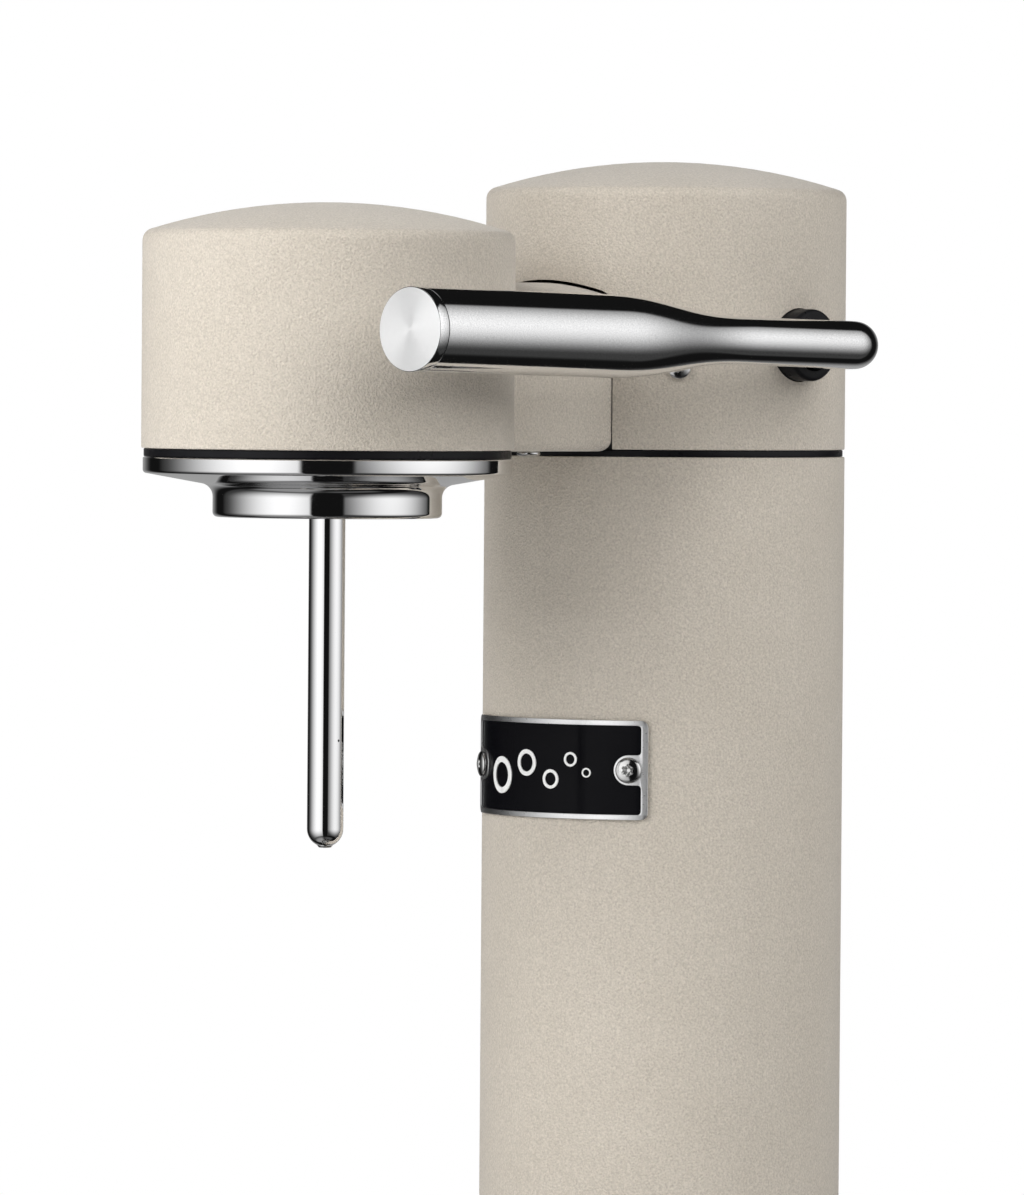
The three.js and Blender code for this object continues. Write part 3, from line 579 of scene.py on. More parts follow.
def base_pad():
    """The foot's rubber sole, chamfered round its rim, with a hole under each screw."""
    low, high = box_mm("base_pad")
    front, rear = -low.y, high.y - SPACING
    chamfer, way_in, screw_hole = 0.6, 34, 5
    levels = [(chamfer, 0), (0, chamfer), (0, 1.6), (0.4, high.z)]
    pad = to_object("base_sole", pear_stack(front, rear, levels))
    opening = drum(way_in, -5, 9, COLUMN, sides=128)
    access = [drum(screw_hole, -5, 9, under(n)) for n in BASE_SCREWS]
    cut(pad, opening, *access)
    show(pad, "machine", RUBBER, "rubber", "base_pad")


def drip_tray():
    """A spun dish with a rolled rim and one shallow groove round its floor."""
    low, high = box_mm("drip_tray")
    rim = high.x
    floor_radius, wall = 64, 1.2
    corner = rim - wall - floor_radius
    outer = arc((floor_radius, low.z + corner), corner, 270, 360, 12)
    inner = arc((floor_radius, low.z + corner), corner - wall, 360, 270, 12)
    lip = arc((rim - wall / 2, high.z - wall / 2), wall / 2, -90, 90, 8)
    shoulder = [(rim - 2.4 * wall, high.z), (rim - 2 * wall, high.z - 1.5)]
    profile = [(0, low.z)] + outer + [(rim - wall, high.z - wall)] + lip + shoulder + inner
    top, groove, half, depth = low.z + wall, 60.4, 0.6, 0.25
    profile += [(groove + half, top), (groove, top - depth), (groove - half, top), (0, top)]
    tray = lathe("drip_tray_dish", profile, sides=192)
    show(tray, "tray", TRAY, "satin_steel", "drip_tray")


# ---- Column ----


def tower_tube():
    low, high = box_mm("tower_tube")
    inner = BODY_RADIUS - WALL
    edge, top_edge = 0.3, 0.35
    outside = [(BODY_RADIUS, low.z, edge), (BODY_RADIUS, high.z, top_edge)]
    inside = [(inner, high.z, edge), (inner, low.z, edge)]
    tube = lathe("column_tube", rounded(outside + inside), COLUMN, sides=192)
    show(tube, "machine", SAND, "sand_paint", "tower_tube")


def seam_band(name, node, centre):
    """A black ring with its outer edges softened."""
    low, high = box_mm(node)
    outer, edge = (high.x - low.x) / 2, 0.25
    inner = outer - 1.0
    profile = rounded([(outer, low.z, edge), (outer, high.z, edge), (inner, high.z), (inner, low.z)])
    band = lathe(name, profile, centre, sides=192)
    show(band, "machine", BLACK, "rubber", node)


# ---- Badge ----

# The badge's back stands a little proud of the column. Angles are from the column's front.
BADGE_RADIUS = BODY_RADIUS + 0.2
BADGE_EDGE_ANGLE = 38.3
BADGE_SCREW_ANGLE = 32.3


def flat_shape(name, outlines, low, high, edge):
    """A plate from closed outlines in the plane, the later ones holes, with its upper edge softened."""
    curve = bpy.data.curves.new(name, "CURVE")
    curve.dimensions = "2D"
    curve.fill_mode = "BOTH"
    curve.extrude = (high - low) / 2 - edge
    curve.bevel_depth = edge
    curve.bevel_resolution = 2
    curve.offset = -edge
    for points in outlines:
        spline = curve.splines.new("POLY")
        spline.points.add(len(points) - 1)
        for point, (x, y) in zip(spline.points, points):
            point.co = (x, y, 0, 1)
        spline.use_cyclic_u = True
    holder = new_object(name, curve)
    bm = bmesh.new()
    bm.from_mesh(baked(holder))
    bpy.data.objects.remove(holder)
    bmesh.ops.translate(bm, verts=bm.verts, vec=(0, 0, (low + high) / 2))
    return bm


def wrapped(name, bm, centre_z):
    """Bends a plate built in (arc length, height, thickness) round the column's front."""
    reach = int(max(abs(v.co.x) for v in bm.verts))
    for i in range(-reach, reach + 1):
        geometry = bm.verts[:] + bm.edges[:] + bm.faces[:]
        bmesh.ops.bisect_plane(bm, geom=geometry, plane_co=(i, 0, 0), plane_no=(1, 0, 0))
    for v in bm.verts:
        angle = v.co.x / BADGE_RADIUS
        out = BADGE_RADIUS + v.co.z
        v.co = (out * math.sin(angle), SPACING - out * math.cos(angle), centre_z + v.co.y)
    return to_object(name, bm, sharp=50)


def mirrored(right, steps=6):
    """A closed outline with rounded corners from those of its right half."""
    left = [(-x, y, fillet) for x, y, fillet in reversed(right)]
    return rounded(right + left, steps)


def rectangle(half_width, half_height, corner):
    return mirrored([(half_width, -half_height, corner), (half_width, half_height, corner)])


def field_outline(half_width, half_height, screw_x, notch):
    """The enamelled field: a rectangle with a round-ended notch in each side, round the screws."""
    corner = 0.9
    end = notch - 0.01
    right = [
        (half_width, -half_height, corner),
        (half_width, -notch, corner),
        (screw_x - notch, -notch, end),
        (screw_x - notch, notch, end),
        (half_width, notch, corner),
        (half_width, half_height, corner),
    ]
    return mirrored(right, 8)


def badge():
    """A curved metal plate with a bright rim, a sunk black field, and bubbles in place of lettering."""
    low, high = box_mm("badge_plate")
    centre_z = (low.z + high.z) / 2
    half_height = (high.z - low.z) / 2
    half_width = BADGE_RADIUS * math.radians(BADGE_EDGE_ANGLE)
    screw_x = BADGE_RADIUS * math.radians(BADGE_SCREW_ANGLE)
    rim_side, rim_top, overlap, notch_radius, hollow = 1.7, 1.3, 0.3, 3.75, 0.68
    outline = rectangle(half_width, half_height, 1.8)
    field = field_outline(half_width - rim_side, half_height - rim_top, screw_x, notch_radius)
    rim = flat_shape("rim", [outline, field], low=0.1, high=0.7, edge=0.12)
    show(wrapped("badge_rim", rim, centre_z), "machine", BADGE, "satin_steel", "badge_plate")
    inside = rectangle(half_width - overlap, half_height - overlap, 1.6)
    back = flat_shape("field", [inside], low=0, high=0.35, edge=0.05)
    show(wrapped("badge_field", back, centre_z), "machine", ENAMEL, "black_enamel")
    # Each bubble's place to the right of the badge's middle and above it, and its radius.
    bubbles = [(-14, -2.2, 4.6), (-3.6, 1.2, 3.3), (4.4, -2.6, 2.4), (10.2, 2.4, 1.8), (14.6, -0.8, 1.2)]
    for i, (x, y, radius) in enumerate(bubbles):
        rings = [circle((x, y), radius), circle((x, y), radius * hollow)]
        bubble = flat_shape("bubble", rings, low=0.3, high=0.6, edge=0.05)
        show(wrapped(f"badge_bubble_{i + 1}", bubble, centre_z), "machine", WHITE, "black_enamel")


# ---- Screws ----


CAP_SCREW_ANGLE = 46.9


def star(radius, lobes=6, depth=0.256, steps=72):
    """A rounded star outline, whose hollows go in by a share of its radius."""
    points = []
    for i in range(steps):
        angle = 2 * math.pi * i / steps
        reach = radius * (1 - depth * (1 - math.cos(lobes * angle)) / 2)
        points.append((reach * math.cos(angle), reach * math.sin(angle)))
    return points


def screw(name, node, axis_point, outward, head, height=1.5, shank=1.5, material=POLISHED):
    """A domed screw with a star socket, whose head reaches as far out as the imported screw's."""
    outward = Vector(outward).normalized()
    foot = Vector(axis_point) - outward * Vector(axis_point).dot(outward)
    top = reach_along(node, outward)
    length, edge = 6, 0.25
    brim = top - height * 0.62
    profile = [(0, top - length), (shank, top - length), (shank, top - height)]
    profile += [(head - edge, top - height), (head, top - height + edge)]
    for i in range(6):
        turn = i / 5
        profile.append((head * math.cos(turn), brim + (top - brim) * math.sin(turn)))
    profile += [(head * 0.42, top), (0, top)]
    bolt = lathe(name, profile, foot, outward, sides=48, sharp=50)
    socket = star(head / 2)
    recess = stacked([(star(head * 0.15), top - height), (socket, top - height / 3), (socket, top + 1)])
    recess.transform(Matrix.Translation(foot) @ UP.rotation_difference(outward).to_matrix().to_4x4())
    cut(bolt, to_object("cutter", recess))
    show(bolt, "machine", material, "satin_steel", node)


def reach_along(node, outward):
    """How far out a node reaches along a direction, in millimetres from the origin."""
    vertices = frame["nodes"][node].data.vertices
    return max(v.co.dot(outward) for v in vertices) / MM


def radial(angle, side):
    """Outward from the column at an angle from its front, to the left for side -1 or the right for 1."""
    turn = math.radians(angle) * side
    return (math.sin(turn), -math.cos(turn), 0)


def all_screws():
    for side, word in ((-1, "left"), (1, "right")):
        for kind, angle, head in (("badge", BADGE_SCREW_ANGLE, 3.2), ("cap", CAP_SCREW_ANGLE, 3.0)):
            node = f"{kind}_screw_{word}"
            place = COLUMN + UP * middle(node).z
            screw(f"{kind}_bolt_{word}", node, place, radial(angle, side), head)
        node = f"neck_screw_{word}"
        screw(f"neck_bolt_{word}", node, middle(node), -UP, head=2.9, height=1.4)
    for i, node in enumerate(BASE_SCREWS):
        name = f"base_bolt_{i + 1}"
        screw(name, node, middle(node), -UP, head=4.0, height=2.2, shank=2.0, material=STEEL)


# ---- Cap, head and neck ----


def dome_profile(node):
    """Half section of a domed shell, open below, with a small round on its lower edge."""
    low, high = box_mm(node)
    inner_radius = BODY_RADIUS - WALL
    outer = crown(BODY_RADIUS, high.z, DOME_RADIUS, DOME_EDGE, 10)
    inner = crown(inner_radius, high.z - WALL, DOME_RADIUS - WALL, DOME_EDGE - 1, 6)
    soft = 0.35
    foot = [(inner_radius, low.z), (BODY_RADIUS - soft, low.z)]
    edge = arc((BODY_RADIUS - soft, low.z + soft), soft, -90, 0, 5)[1:]
    return list(reversed(inner)) + foot + edge + outer


def notch(near, far):
    """The cutters, from one Y to another, for the notch by which a shell sits over the neck."""
    outline = neck_outline(-NECK_CLEARANCE)
    through = skin([[(x, y, z + NECK_HEADROOM) for x, z in outline] for y in (near, far)])
    low, high = box_mm("neck_cover")
    half = high.x + NECK_CLEARANCE
    below = block((-half, near, low.z - 3), (half, far, (low.z + high.z) / 2))
    return to_object("cutter", through), below


NOTCH_IN = 12
NOTCH_OUT = 2


def cap_shell():
    """The column's domed cap, open below, with a hole for the lever's bush at its right."""
    shell = lathe("column_cap", dome_profile("cap_shell"), COLUMN, sides=192)
    hole = drum(9.15, 30, 60, PIVOT, ACROSS)
    front = SPACING - BODY_RADIUS
    cut(shell, hole, *notch(front - NOTCH_OUT, front + NOTCH_IN))
    show(shell, "machine", SAND, "sand_paint", "cap_shell")


def head_shell():
    shell = lathe("head_dome", dome_profile("head_shell"), sides=192)
    cut(shell, *notch(BODY_RADIUS - NOTCH_IN, BODY_RADIUS + NOTCH_OUT))
    show(shell, "machine", SAND, "sand_paint", "head_shell")


def neck_outline(inset):
    """The neck's section in X and Z, drawn in from its outside all round."""
    low, high = box_mm("neck_cover")
    half = high.x - inset
    crown_radius, crown_edge, foot_edge = 56, 4, 3.0
    top = crown(half, high.z - inset, crown_radius - inset, max(crown_edge - inset, 1.0), 10)
    left = [(-x, z) for x, z in reversed(top[:-1])]
    foot = max(foot_edge - inset, 0.8)
    height = low.z + inset + foot
    left_corner = arc((foot - half, height), foot, 180, 270, 8)
    right_corner = arc((half - foot, height), foot, 270, 360, 8)
    return top + left + left_corner + right_corner


def neck_cover():
    """A sleeve whose coped ends stand a little way inside the two shells that it joins."""
    clear = BODY_RADIUS - NECK_ENTRY
    wall, soft = 1.5, 0.4
    ends = [(wall, 0.0), (soft, 0.0), (soft * 0.3, soft * 0.3), (0, soft)]

    def ring(inset, place):
        return [(x, place(math.sqrt(clear**2 - x * x)), z) for x, z in neck_outline(inset)]

    rings = [ring(inset, lambda cope: cope + back) for inset, back in ends]
    rings += [ring(inset, lambda cope: SPACING - cope - back) for inset, back in reversed(ends)]
    sleeve = to_object("neck_sleeve", skin(rings, "joined"))
    underside = box_mm("neck_cover")[0].z
    screws = [middle(f"neck_screw_{word}") for word in ("left", "right")]
    cut(sleeve, *[drum(1.8, -5, 5, (at.x, at.y, underside)) for at in screws])
    show(sleeve, "machine", SAND, "sand_paint", "neck_cover")


# ---- Mouth ----


def mouth_collar():
    """Chrome flange that sweeps in to a short collar, with a low locking ridge for the bottle inside."""
    low, high = box_mm("mouth_collar")
    flange, outer, inner = high.x, 27.7, 22.0
    flange_top, flange_edge = 340.4, 336.45
    chamfer, lip, foot, inner_foot = 0.3, 0.9, 1.2, 0.8
    sweep = 3.2
    profile = [(inner, flange_top), (flange - chamfer, flange_top), (flange, flange_top - chamfer)]
    profile += arc((flange - lip, flange_edge + lip), lip, 0, -80, 8)
    profile += arc((outer + sweep, 330.9), sweep, 99, 180, 12)
    profile += arc((outer - foot, low.z + foot), foot, 0, -90, 8)
    profile += arc((inner + inner_foot, low.z + inner_foot), inner_foot, -90, -180, 5)
    ridge_foot, ridge_head, ridge = 328, 330.4, 0.7
    profile += [(inner, ridge_foot), (inner - ridge, ridge_foot + ridge)]
    profile += [(inner - ridge, ridge_head - ridge), (inner, ridge_head)]
    collar = lathe("mouth_flange", profile, sides=192)
    show(collar, "machine", CHROME, "chrome", "mouth_collar")


def nozzle_tube():
    """The nozzle's pipe, rounded in at its foot, with a small vent in its side."""
    low, high = box_mm("nozzle_tube")
    radius, bore = high.x, 2.6
    bevel = 0.6
    rounding = arc((0, low.z + 3.92), radius, -63, 0, 12)
    profile = [(bore - bevel, low.z + bevel)] + rounding
    profile += [(radius, high.z), (bore, high.z), (bore, low.z + 4)]
    tube = lathe("nozzle_pipe", profile, sides=64)
    vent = drum(0.3, 2, 8, (0, 0, low.z + 25.3), ACROSS, sides=24)
    cut(tube, vent)
    show(tube, "machine", CHROME, "chrome", "nozzle_tube")


def nozzle_tip():
    """The jet in the nozzle's foot, with a slot across its end."""
    low, high = box_mm("nozzle_tip")
    tube_foot = box_mm("nozzle_tube")[0].z
    jet, radius = 0.5, high.x
    waist = radius - 0.5
    profile = [(jet, high.z), (jet, low.z), (jet + 0.3, low.z), (waist - 0.4, low.z + 0.1)]
    profile += [(waist, low.z + 0.6), (waist, tube_foot + 1.2)]
    profile += [(radius, tube_foot + 1.6), (radius, high.z)]
    tip = lathe("nozzle_jet", profile, sides=48)
    slot = block((-4, -0.35, low.z - 1), (4, 0.35, low.z + 0.6))
    cut(tip, slot)
    show(tip, "machine", STEEL, "satin_steel", "nozzle_tip")


def bottle_seal():
    """The ring that the bottle's mouth presses on, with a shallow channel in its underside."""
    low, high = box_mm("bottle_seal")
    outer, inner, channel, bevel = high.x, 11, 0.5, 1
    profile = [(inner, low.z), (12.5, low.z + channel), (18, low.z + channel)]
    profile += [(outer - bevel, low.z), (outer, low.z + bevel), (outer, high.z), (inner, high.z)]
    show(lathe("bottle_gasket", profile, sides=128), "machine", RUBBER, "rubber", "bottle_seal")


def manifold():
    """The block that carries the nozzle: a waist above and below a flange, bored for nozzle and gas."""
    low, high = box_mm("manifold")
    flange_foot, flange_head, waist_radius, top_radius = 339.5, 346.3, 10, 9.5
    nozzle_bore, gas_bore, bore_step = 4.6, 1.5, 343
    outside = [(nozzle_bore, low.z), (waist_radius, low.z, 0.6), (waist_radius, flange_foot)]
    outside += [(high.x, flange_foot, 0.4), (high.x, flange_head, 0.4)]
    outside += [(top_radius, flange_head), (top_radius, high.z, 0.5)]
    bores = [(gas_bore, high.z), (gas_bore, bore_step), (nozzle_bore, bore_step)]
    carrier = lathe("nozzle_carrier", rounded(outside + bores, 4), sides=96)
    cut(carrier, drum(2.1, 4.5, 12, (0, 0, 356), BEHIND, sides=24))
    show(carrier, "machine", GREY, "grey_plastic", "manifold")


# ---- Lever ----


# The bar lies in the plane X = LEVER_X up to its bend, and turns in from there to the pivot.
LEVER_X = 67.5
LEVER_FRONT = -41.5
LEVER_INNER_END = 44.2
LEVER_TILT = math.radians(1.0)
GRIP_RADIUS = 10.0
BAR_RADIUS = 5.85
TAPER_START = 24
TAPER_END = 76
BEND = 8.0
PLUG = 3.0


def lever_radius(y):
    """The bar's radius at a place along the machine: thick at the grip, thin past the taper."""
    t = min(max((y - TAPER_START) / (TAPER_END - TAPER_START), 0), 1)
    return GRIP_RADIUS + (BAR_RADIUS - GRIP_RADIUS) * t * t * t * (t * (6 * t - 15) + 10)


def lever_spine(front, steps=90):
    """(centre, direction, radius) along the bar, from the grip's end round the bend to the bush."""
    stations = []
    straight_end = SPACING - BEND
    for i in range(steps + 1):
        y = front + (straight_end - front) * i / steps
        stations.append(((LEVER_X, y), (0, 1), lever_radius(y)))
    for degrees in range(5, 91, 5):
        a = math.radians(degrees)
        centre = (LEVER_X - BEND + BEND * math.cos(a), straight_end + BEND * math.sin(a))
        stations.append((centre, (-math.sin(a), math.cos(a)), BAR_RADIUS))
    stations.append(((LEVER_INNER_END, SPACING), (-1, 0), BAR_RADIUS))
    return stations


def tilted(bm):
    """Turns what was built level about the pivot, to how the lever rests."""
    turn = Matrix.Rotation(-LEVER_TILT, 4, "X")
    bm.transform(Matrix.Translation(PIVOT) @ turn @ Matrix.Translation(-PIVOT))
    return bm


def lever():
    """The bent bar, hollow at its inner end for the axle."""
    gap, bevel, sides = 0.12, 0.08, 64
    start = LEVER_FRONT + PLUG + gap

    def ring(centre, direction, radius):
        across = Vector((direction[1], -direction[0], 0))
        place = Vector((*centre, PIVOT.z))
        turns = [2 * math.pi * i / sides for i in range(sides)]
        return [place + across * radius * math.cos(a) + UP * radius * math.sin(a) for a in turns]

    rings = [ring((LEVER_X, start), (0, 1), GRIP_RADIUS - inset) for inset in (0.6, bevel)]
    for i, ((x, y), direction, radius) in enumerate(lever_spine(start)):
        rings.append(ring((x, y + bevel if i == 0 else y), direction, radius))
    bar = to_object("lever_bar", tilted(skin(rings)), sharp=40)
    cut(bar, drum(4.1, 43, 52.3, PIVOT, ACROSS))
    show(bar, "lever_arm", SATIN, "satin_steel", "lever")


def lever_end_cap():
    """The plug in the grip's end, turned on its face and satin round its side."""
    profile = rounded([(0, 0), (GRIP_RADIUS, 0, 0.25), (GRIP_RADIUS, PLUG, 0.08), (0, PLUG)], 5)
    plug = spun(profile, (LEVER_X, LEVER_FRONT, PIVOT.z), BEHIND, 96)
    end = to_object("lever_plug", tilted(plug), sharp=40)
    show(end, "lever_arm", TURNED, "chrome", "lever_end_cap")
    end.data.materials.append(SATIN)
    for polygon in end.data.polygons:
        polygon.material_index = 0 if polygon.normal.y < -0.9 else 1


def pivot_bush():
    """The ring that the axle turns in, rounded where it stands out of the cap."""
    low, high = box_mm("pivot_bush")
    radius, bore, bevel = (high.z - low.z) / 2, 6.2, 0.3
    profile = [(bore, low.x), (radius, low.x)] + arc((radius - 1, high.x - 1), 1, 0, 90, 8)
    profile += [(bore + bevel, high.x), (bore, high.x - bevel)]
    bush = lathe("lever_bush", profile, PIVOT, ACROSS, sides=96)
    show(bush, "machine", BLACK, "black_plastic", "pivot_bush")


# ---- Inside ----


def coil(name, centre, radius, wire, low, high, turns):
    """A round-wire spring between two heights."""
    steps, sides = turns * 28, 10
    rings = []
    for i in range(steps + 1):
        t = i / steps
        angle = 2 * math.pi * turns * t
        out = Vector((math.cos(angle), math.sin(angle), 0))
        place = Vector(centre) + out * radius + UP * (low + wire + (high - low - 2 * wire) * t)
        angles = [2 * math.pi * k / sides for k in range(sides)]
        rings.append([place + (out * math.cos(a) + UP * math.sin(a)) * wire for a in angles])
    return to_object(name, skin(rings))


def sprung(name, node, centre, radius, wire):
    """A spring coiled between the lowest and highest points of a node, in place of it."""
    low, high = box_mm(node)
    spring = coil(name, centre, radius, wire, low.z, high.z, 4)
    show(spring, "machine", STEEL, "satin_steel", node)
    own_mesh(spring)


def springs():
    """The spring that lifts the valve pin, and the relief valve's."""
    sprung("pin_spring", "return_spring", COLUMN, 4.5, 0.8)
    sprung("blowoff_spring", "relief_spring", HEAD, 2.6, 0.5)


def gas_cylinder():
    """The gas bottle, hollow, with a pushed-in base, a round shoulder and a short neck."""
    low, high = box_mm("gas_cylinder")
    radius, wall = high.x, 3
    base_edge, shoulder, shoulder_z = 3.5, 20, 284
    neck, neck_foot, bore = 12.5, 306.5, 8.5
    foot = arc((radius - base_edge, low.z + base_edge), base_edge, -90, 0, 8)
    outer = arc((radius - shoulder, shoulder_z), shoulder, 0, 78, 14)
    inner = arc((radius - shoulder, shoulder_z), shoulder - wall, 70, 0, 10)
    profile = [(0, low.z + 4.5), (radius - 9, low.z + 1.2), (radius - 6.5, low.z)] + foot + outer
    profile += [(neck, neck_foot), (neck, high.z), (bore, high.z), (bore, neck_foot - 2.5)] + inner
    profile += [(radius - wall, low.z + 6), (radius - 9, low.z + 5), (0, low.z + 8)]
    shell = lathe("gas_cylinder_shell", profile, COLUMN, sides=128)
    show(shell, "gas_bottle", ALUMINIUM, "aluminium", "gas_cylinder")


def inner_materials():
    """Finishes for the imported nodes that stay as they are, all of them inside the machine."""
    finishes = {
        "brass": BRASS,
        "zinc": ZINC,
        "grey_plastic": GREY,
        "rubber": RUBBER,
        "satin_steel": STEEL,
        "aluminium": ALUMINIUM,
        "black_plastic": BLACK,
    }
    slots = {part["node"]: part["material_slot"] for part in frame["record"]["subparts"]}
    for name, obj in frame["nodes"].items():
        if obj.hide_render:
            continue
        obj.data.materials.clear()
        obj.data.materials.append(finishes[slots[name]])


# ---- Studio ----

# The camera looks from the machine's front right. Angles are in degrees, and lengths in millimetres but
# for the distance, which is in radii of the column.
CAMERA_AZIMUTH = 43.5
CAMERA_DISTANCE = 55.3
CAMERA_LEFT = 37.87
CAMERA_HEIGHT = 364
CAMERA_DIP = 1.36
CAMERA_ROLL = 0.42
FOCAL_LENGTH = 299.8
SENSOR_WIDTH = 36

# How much of the sky falls on matt surfaces, beside what mirrors show of it.
SKY_ON_PAINT = 0.25


def floor():
    """A pale round floor, small enough to stay below the picture's lower edge."""
    radius, thickness, gap = 1500, 12, 0.05
    profile = [(0, -thickness), (radius, -thickness), (radius, -gap), (0, -gap)]
    ground = lathe("studio_floor", profile, (0, 60, 0), sides=128)
    ground.data.materials.append(studio_floor())
    ground.visible_glossy = False


def camera():
    """A long lens a little above the lever, looking at the front right of the machine."""
    azimuth = math.radians(CAMERA_AZIMUTH)
    right = Vector((math.cos(azimuth), math.sin(azimuth), 0))
    toward = Vector((math.sin(azimuth), -math.cos(azimuth), 0))
    data = bpy.data.cameras.new("camera")
    data.sensor_width = SENSOR_WIDTH
    data.lens = FOCAL_LENGTH
    data.clip_end = 100
    data.clip_start = 0.05
    eye = new_object("camera", data)
    place = COLUMN + toward * CAMERA_DISTANCE * BODY_RADIUS - right * CAMERA_LEFT + UP * CAMERA_HEIGHT
    dip = math.radians(CAMERA_DIP)
    look = (-toward * math.cos(dip) - UP * math.sin(dip)).normalized()
    roll = Quaternion((0, 0, 1), math.radians(CAMERA_ROLL))
    eye.location = place * MM
    eye.rotation_mode = "QUATERNION"
    eye.rotation_quaternion = look.to_track_quat("-Z", "Y") @ roll
    bpy.context.scene.camera = eye


def sky_direction(azimuth, elevation):
    """A direction by its angles in degrees to the right of the camera's side, and up from level."""
    turn, rise = math.radians(azimuth + CAMERA_AZIMUTH), math.radians(elevation)
    return Vector((math.sin(turn) * math.cos(rise), -math.cos(turn) * math.cos(rise), math.sin(rise)))


def softbox(name, azimuth, elevation, distance, size, power):
    """A square lamp aimed at the head. Its distance and size are in metres, and its power in watts."""
    aim = Vector((0, SPACING / 2, 340)) * MM
    out = sky_direction(azimuth, elevation)
    data = bpy.data.lights.new(name, "AREA")
    data.size = size
    data.energy = power
    lamp = new_object(name, data)
    lamp.location = aim + out * distance
    lamp.rotation_mode = "QUATERNION"
    lamp.rotation_quaternion = (-out).to_track_quat("-Z", "Y")
    lamp.visible_glossy = False


def softboxes():
    """Lamps that light matt surfaces only: two at the left, two at the right and a fill behind."""
    softbox("softbox_1", -52, 28, distance=0.9, size=0.6, power=7.8)
    softbox("softbox_2", -60, -12, distance=0.9, size=0.6, power=3.2)
    softbox("softbox_3", 50, 30, distance=1.0, size=0.7, power=6.4)
    softbox("softbox_4", 95, 15, distance=1.1, size=0.7, power=1.6)
    softbox("softbox_5", 180, 15, distance=1.4, size=1.0, power=5.0)


class Sky:
    """The world on the way: a dark room whose lit panels are places in the sky."""

    def __init__(self):
        self.world = bpy.data.worlds.new("studio")
        self.world.use_nodes = True
        self.nodes = self.world.node_tree.nodes
        self.links = self.world.node_tree.links
        self.direction = self.nodes.new("ShaderNodeTexCoord").outputs["Generated"]
        self.total = 0.0
        parts = self.nodes.new("ShaderNodeSeparateXYZ")
        self.links.new(self.direction, parts.inputs["Vector"])
        turn = self.math("ARCTAN2", parts.outputs["X"], self.math("MULTIPLY", parts.outputs["Y"], -1))
        turn = self.math("SUBTRACT", turn, math.radians(CAMERA_AZIMUTH))
        self.azimuth = self.math("WRAP", turn, math.pi, -math.pi)
        self.elevation = self.math("ARCSINE", parts.outputs["Z"])

    def math(self, operation, *values):
        """The result of a sum on numbers and sockets."""
        node = self.nodes.new("ShaderNodeMath")
        node.operation = operation
        for socket, value in zip(node.inputs, values):
            if isinstance(value, (int, float)):
                socket.default_value = value
            else:
                self.links.new(value, socket)
        return node.outputs["Value"]

    def step(self, value, start, end):
        """0 before one angle and 1 past another, in degrees, smooth between."""
        node = self.nodes.new("ShaderNodeMapRange")
        node.interpolation_type = "SMOOTHSTEP"
        constants(node, From_Min=math.radians(start), From_Max=math.radians(end))
        self.links.new(value, node.inputs["Value"])
        return node.outputs["Result"]

    def band(self, value, low, high, low_edge, high_edge):
        """1 between two angles and 0 outside them, with an edge of some degrees at each."""
        rise = self.step(value, low - low_edge, low + low_edge)
        fall = self.step(value, high + high_edge, high - high_edge)
        return self.math("MULTIPLY", rise, fall)

    def panel(self, azimuths, elevations, edges):
        """1 inside a panel, and 0 outside its soft edges: left, right, lower and upper, in degrees."""
        across = self.band(self.azimuth, *azimuths, *edges[:2])
        upward = self.band(self.elevation, *elevations, *edges[2:])
        return self.math("MULTIPLY", across, upward)

    def glow(self, azimuth, elevation, inner, outer):
        """1 within an angle of a direction, fading to 0 at a wider angle from it."""
        node = self.nodes.new("ShaderNodeVectorMath")
        node.operation = "DOT_PRODUCT"
        self.links.new(self.direction, node.inputs[0])
        node.inputs[1].default_value = sky_direction(azimuth, elevation)
        away = self.math("ARCCOSINE", node.outputs["Value"])
        return self.step(away, outer, inner)

    def add(self, light, brightness):
        """Adds a panel at a brightness to the sky."""
        self.total = self.math("ADD", self.total, self.math("MULTIPLY", light, brightness))


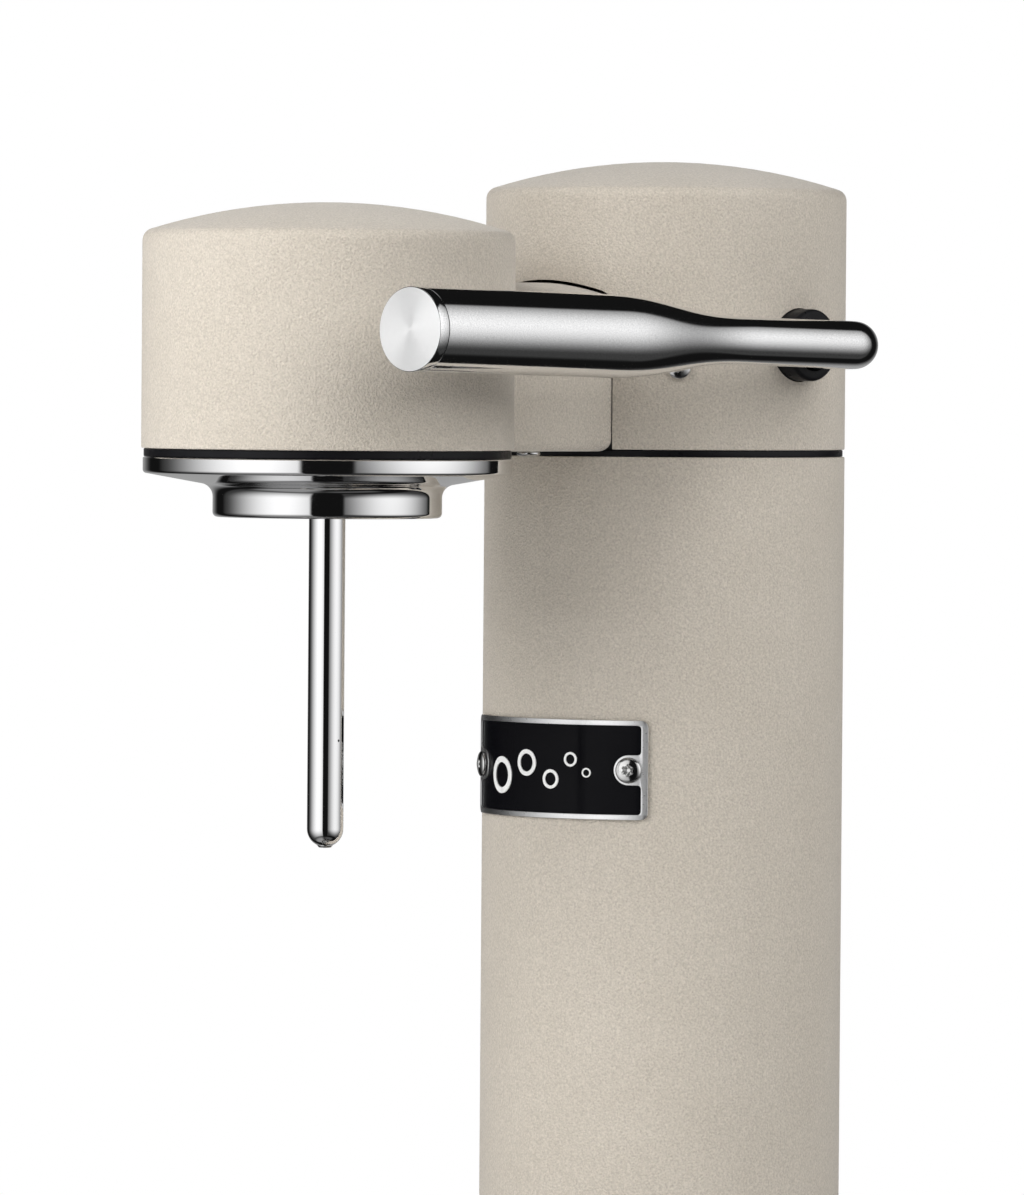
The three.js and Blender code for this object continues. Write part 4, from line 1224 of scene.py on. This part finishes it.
def studio_light():
    """Two tall white panels left and right of the camera, brightest at their middles, and weaker ones
    low in front, behind at both sides and overhead, in a dark room. Camera rays see plain white."""
    sky = Sky()
    left = sky.panel((-126, -16), (-45, 45), edges=(5, 2, 5, 4))
    sky.add(sky.math("MULTIPLY", left, sky.glow(-45, 6, inner=0, outer=80)), 1.25)
    sky.add(left, 0.04)
    right = sky.panel((18, 122), (-41, 41), edges=(2, 3, 2, 1))
    sky.add(sky.math("MULTIPLY", right, sky.glow(68, 20, inner=8, outer=66)), 1.25)
    sky.add(right, 0.04)
    low_left = sky.panel((-120, -20), (-89, -52), edges=(10, 20, 1, 10))
    sky.add(low_left, 0.3)
    low_right = sky.panel((0, 80), (-66, -52), edges=(20, 10, 4, 4))
    sky.add(low_right, 0.08)
    for azimuths in ((-200, -158), (158, 200)):
        behind = sky.panel(azimuths, (-45, 12), edges=(15, 15, 8, 8))
        sky.add(behind, 0.35)
    for lowest, edge, brightness in ((50, 4, 0.008), (66, 8, 0.4)):
        overhead = sky.panel((-181, 181), (lowest, 91), edges=(0.1, 0.1, edge, 0.1))
        sky.add(overhead, brightness)
    dark = 0.007
    sky.add(dark, 1.0)
    path = sky.nodes.new("ShaderNodeLightPath")
    on_paint = sky.math("MULTIPLY", path.outputs["Is Diffuse Ray"], SKY_ON_PAINT - 1)
    strength = sky.math("MULTIPLY", sky.total, sky.math("ADD", on_paint, 1))
    background = constants(sky.nodes["Background"], Color=(1, 1, 1, 1))
    sky.links.new(strength, background.inputs["Strength"])
    seen = constants(sky.nodes.new("ShaderNodeBackground"), Color=(1, 1, 1, 1))
    mix = sky.nodes.new("ShaderNodeMixShader")
    sky.links.new(path.outputs["Is Camera Ray"], mix.inputs["Fac"])
    sky.links.new(background.outputs["Background"], mix.inputs[1])
    sky.links.new(seen.outputs["Background"], mix.inputs[2])
    sky.links.new(mix.outputs["Shader"], sky.nodes["World Output"].inputs["Surface"])
    bpy.context.scene.world = sky.world
    bpy.context.scene.view_settings.view_transform = "Standard"


# ---- Everything ----

camera()
base_shell()
base_pad()
drip_tray()
tower_tube()
seam_band("column_seam", "tower_gasket", COLUMN)
seam_band("head_seam", "head_gasket", HEAD)
badge()
all_screws()
cap_shell()
head_shell()
neck_cover()
mouth_collar()
nozzle_tube()
nozzle_tip()
bottle_seal()
manifold()
lever()
lever_end_cap()
pivot_bush()
springs()
gas_cylinder()
inner_materials()
floor()
studio_light()
softboxes()
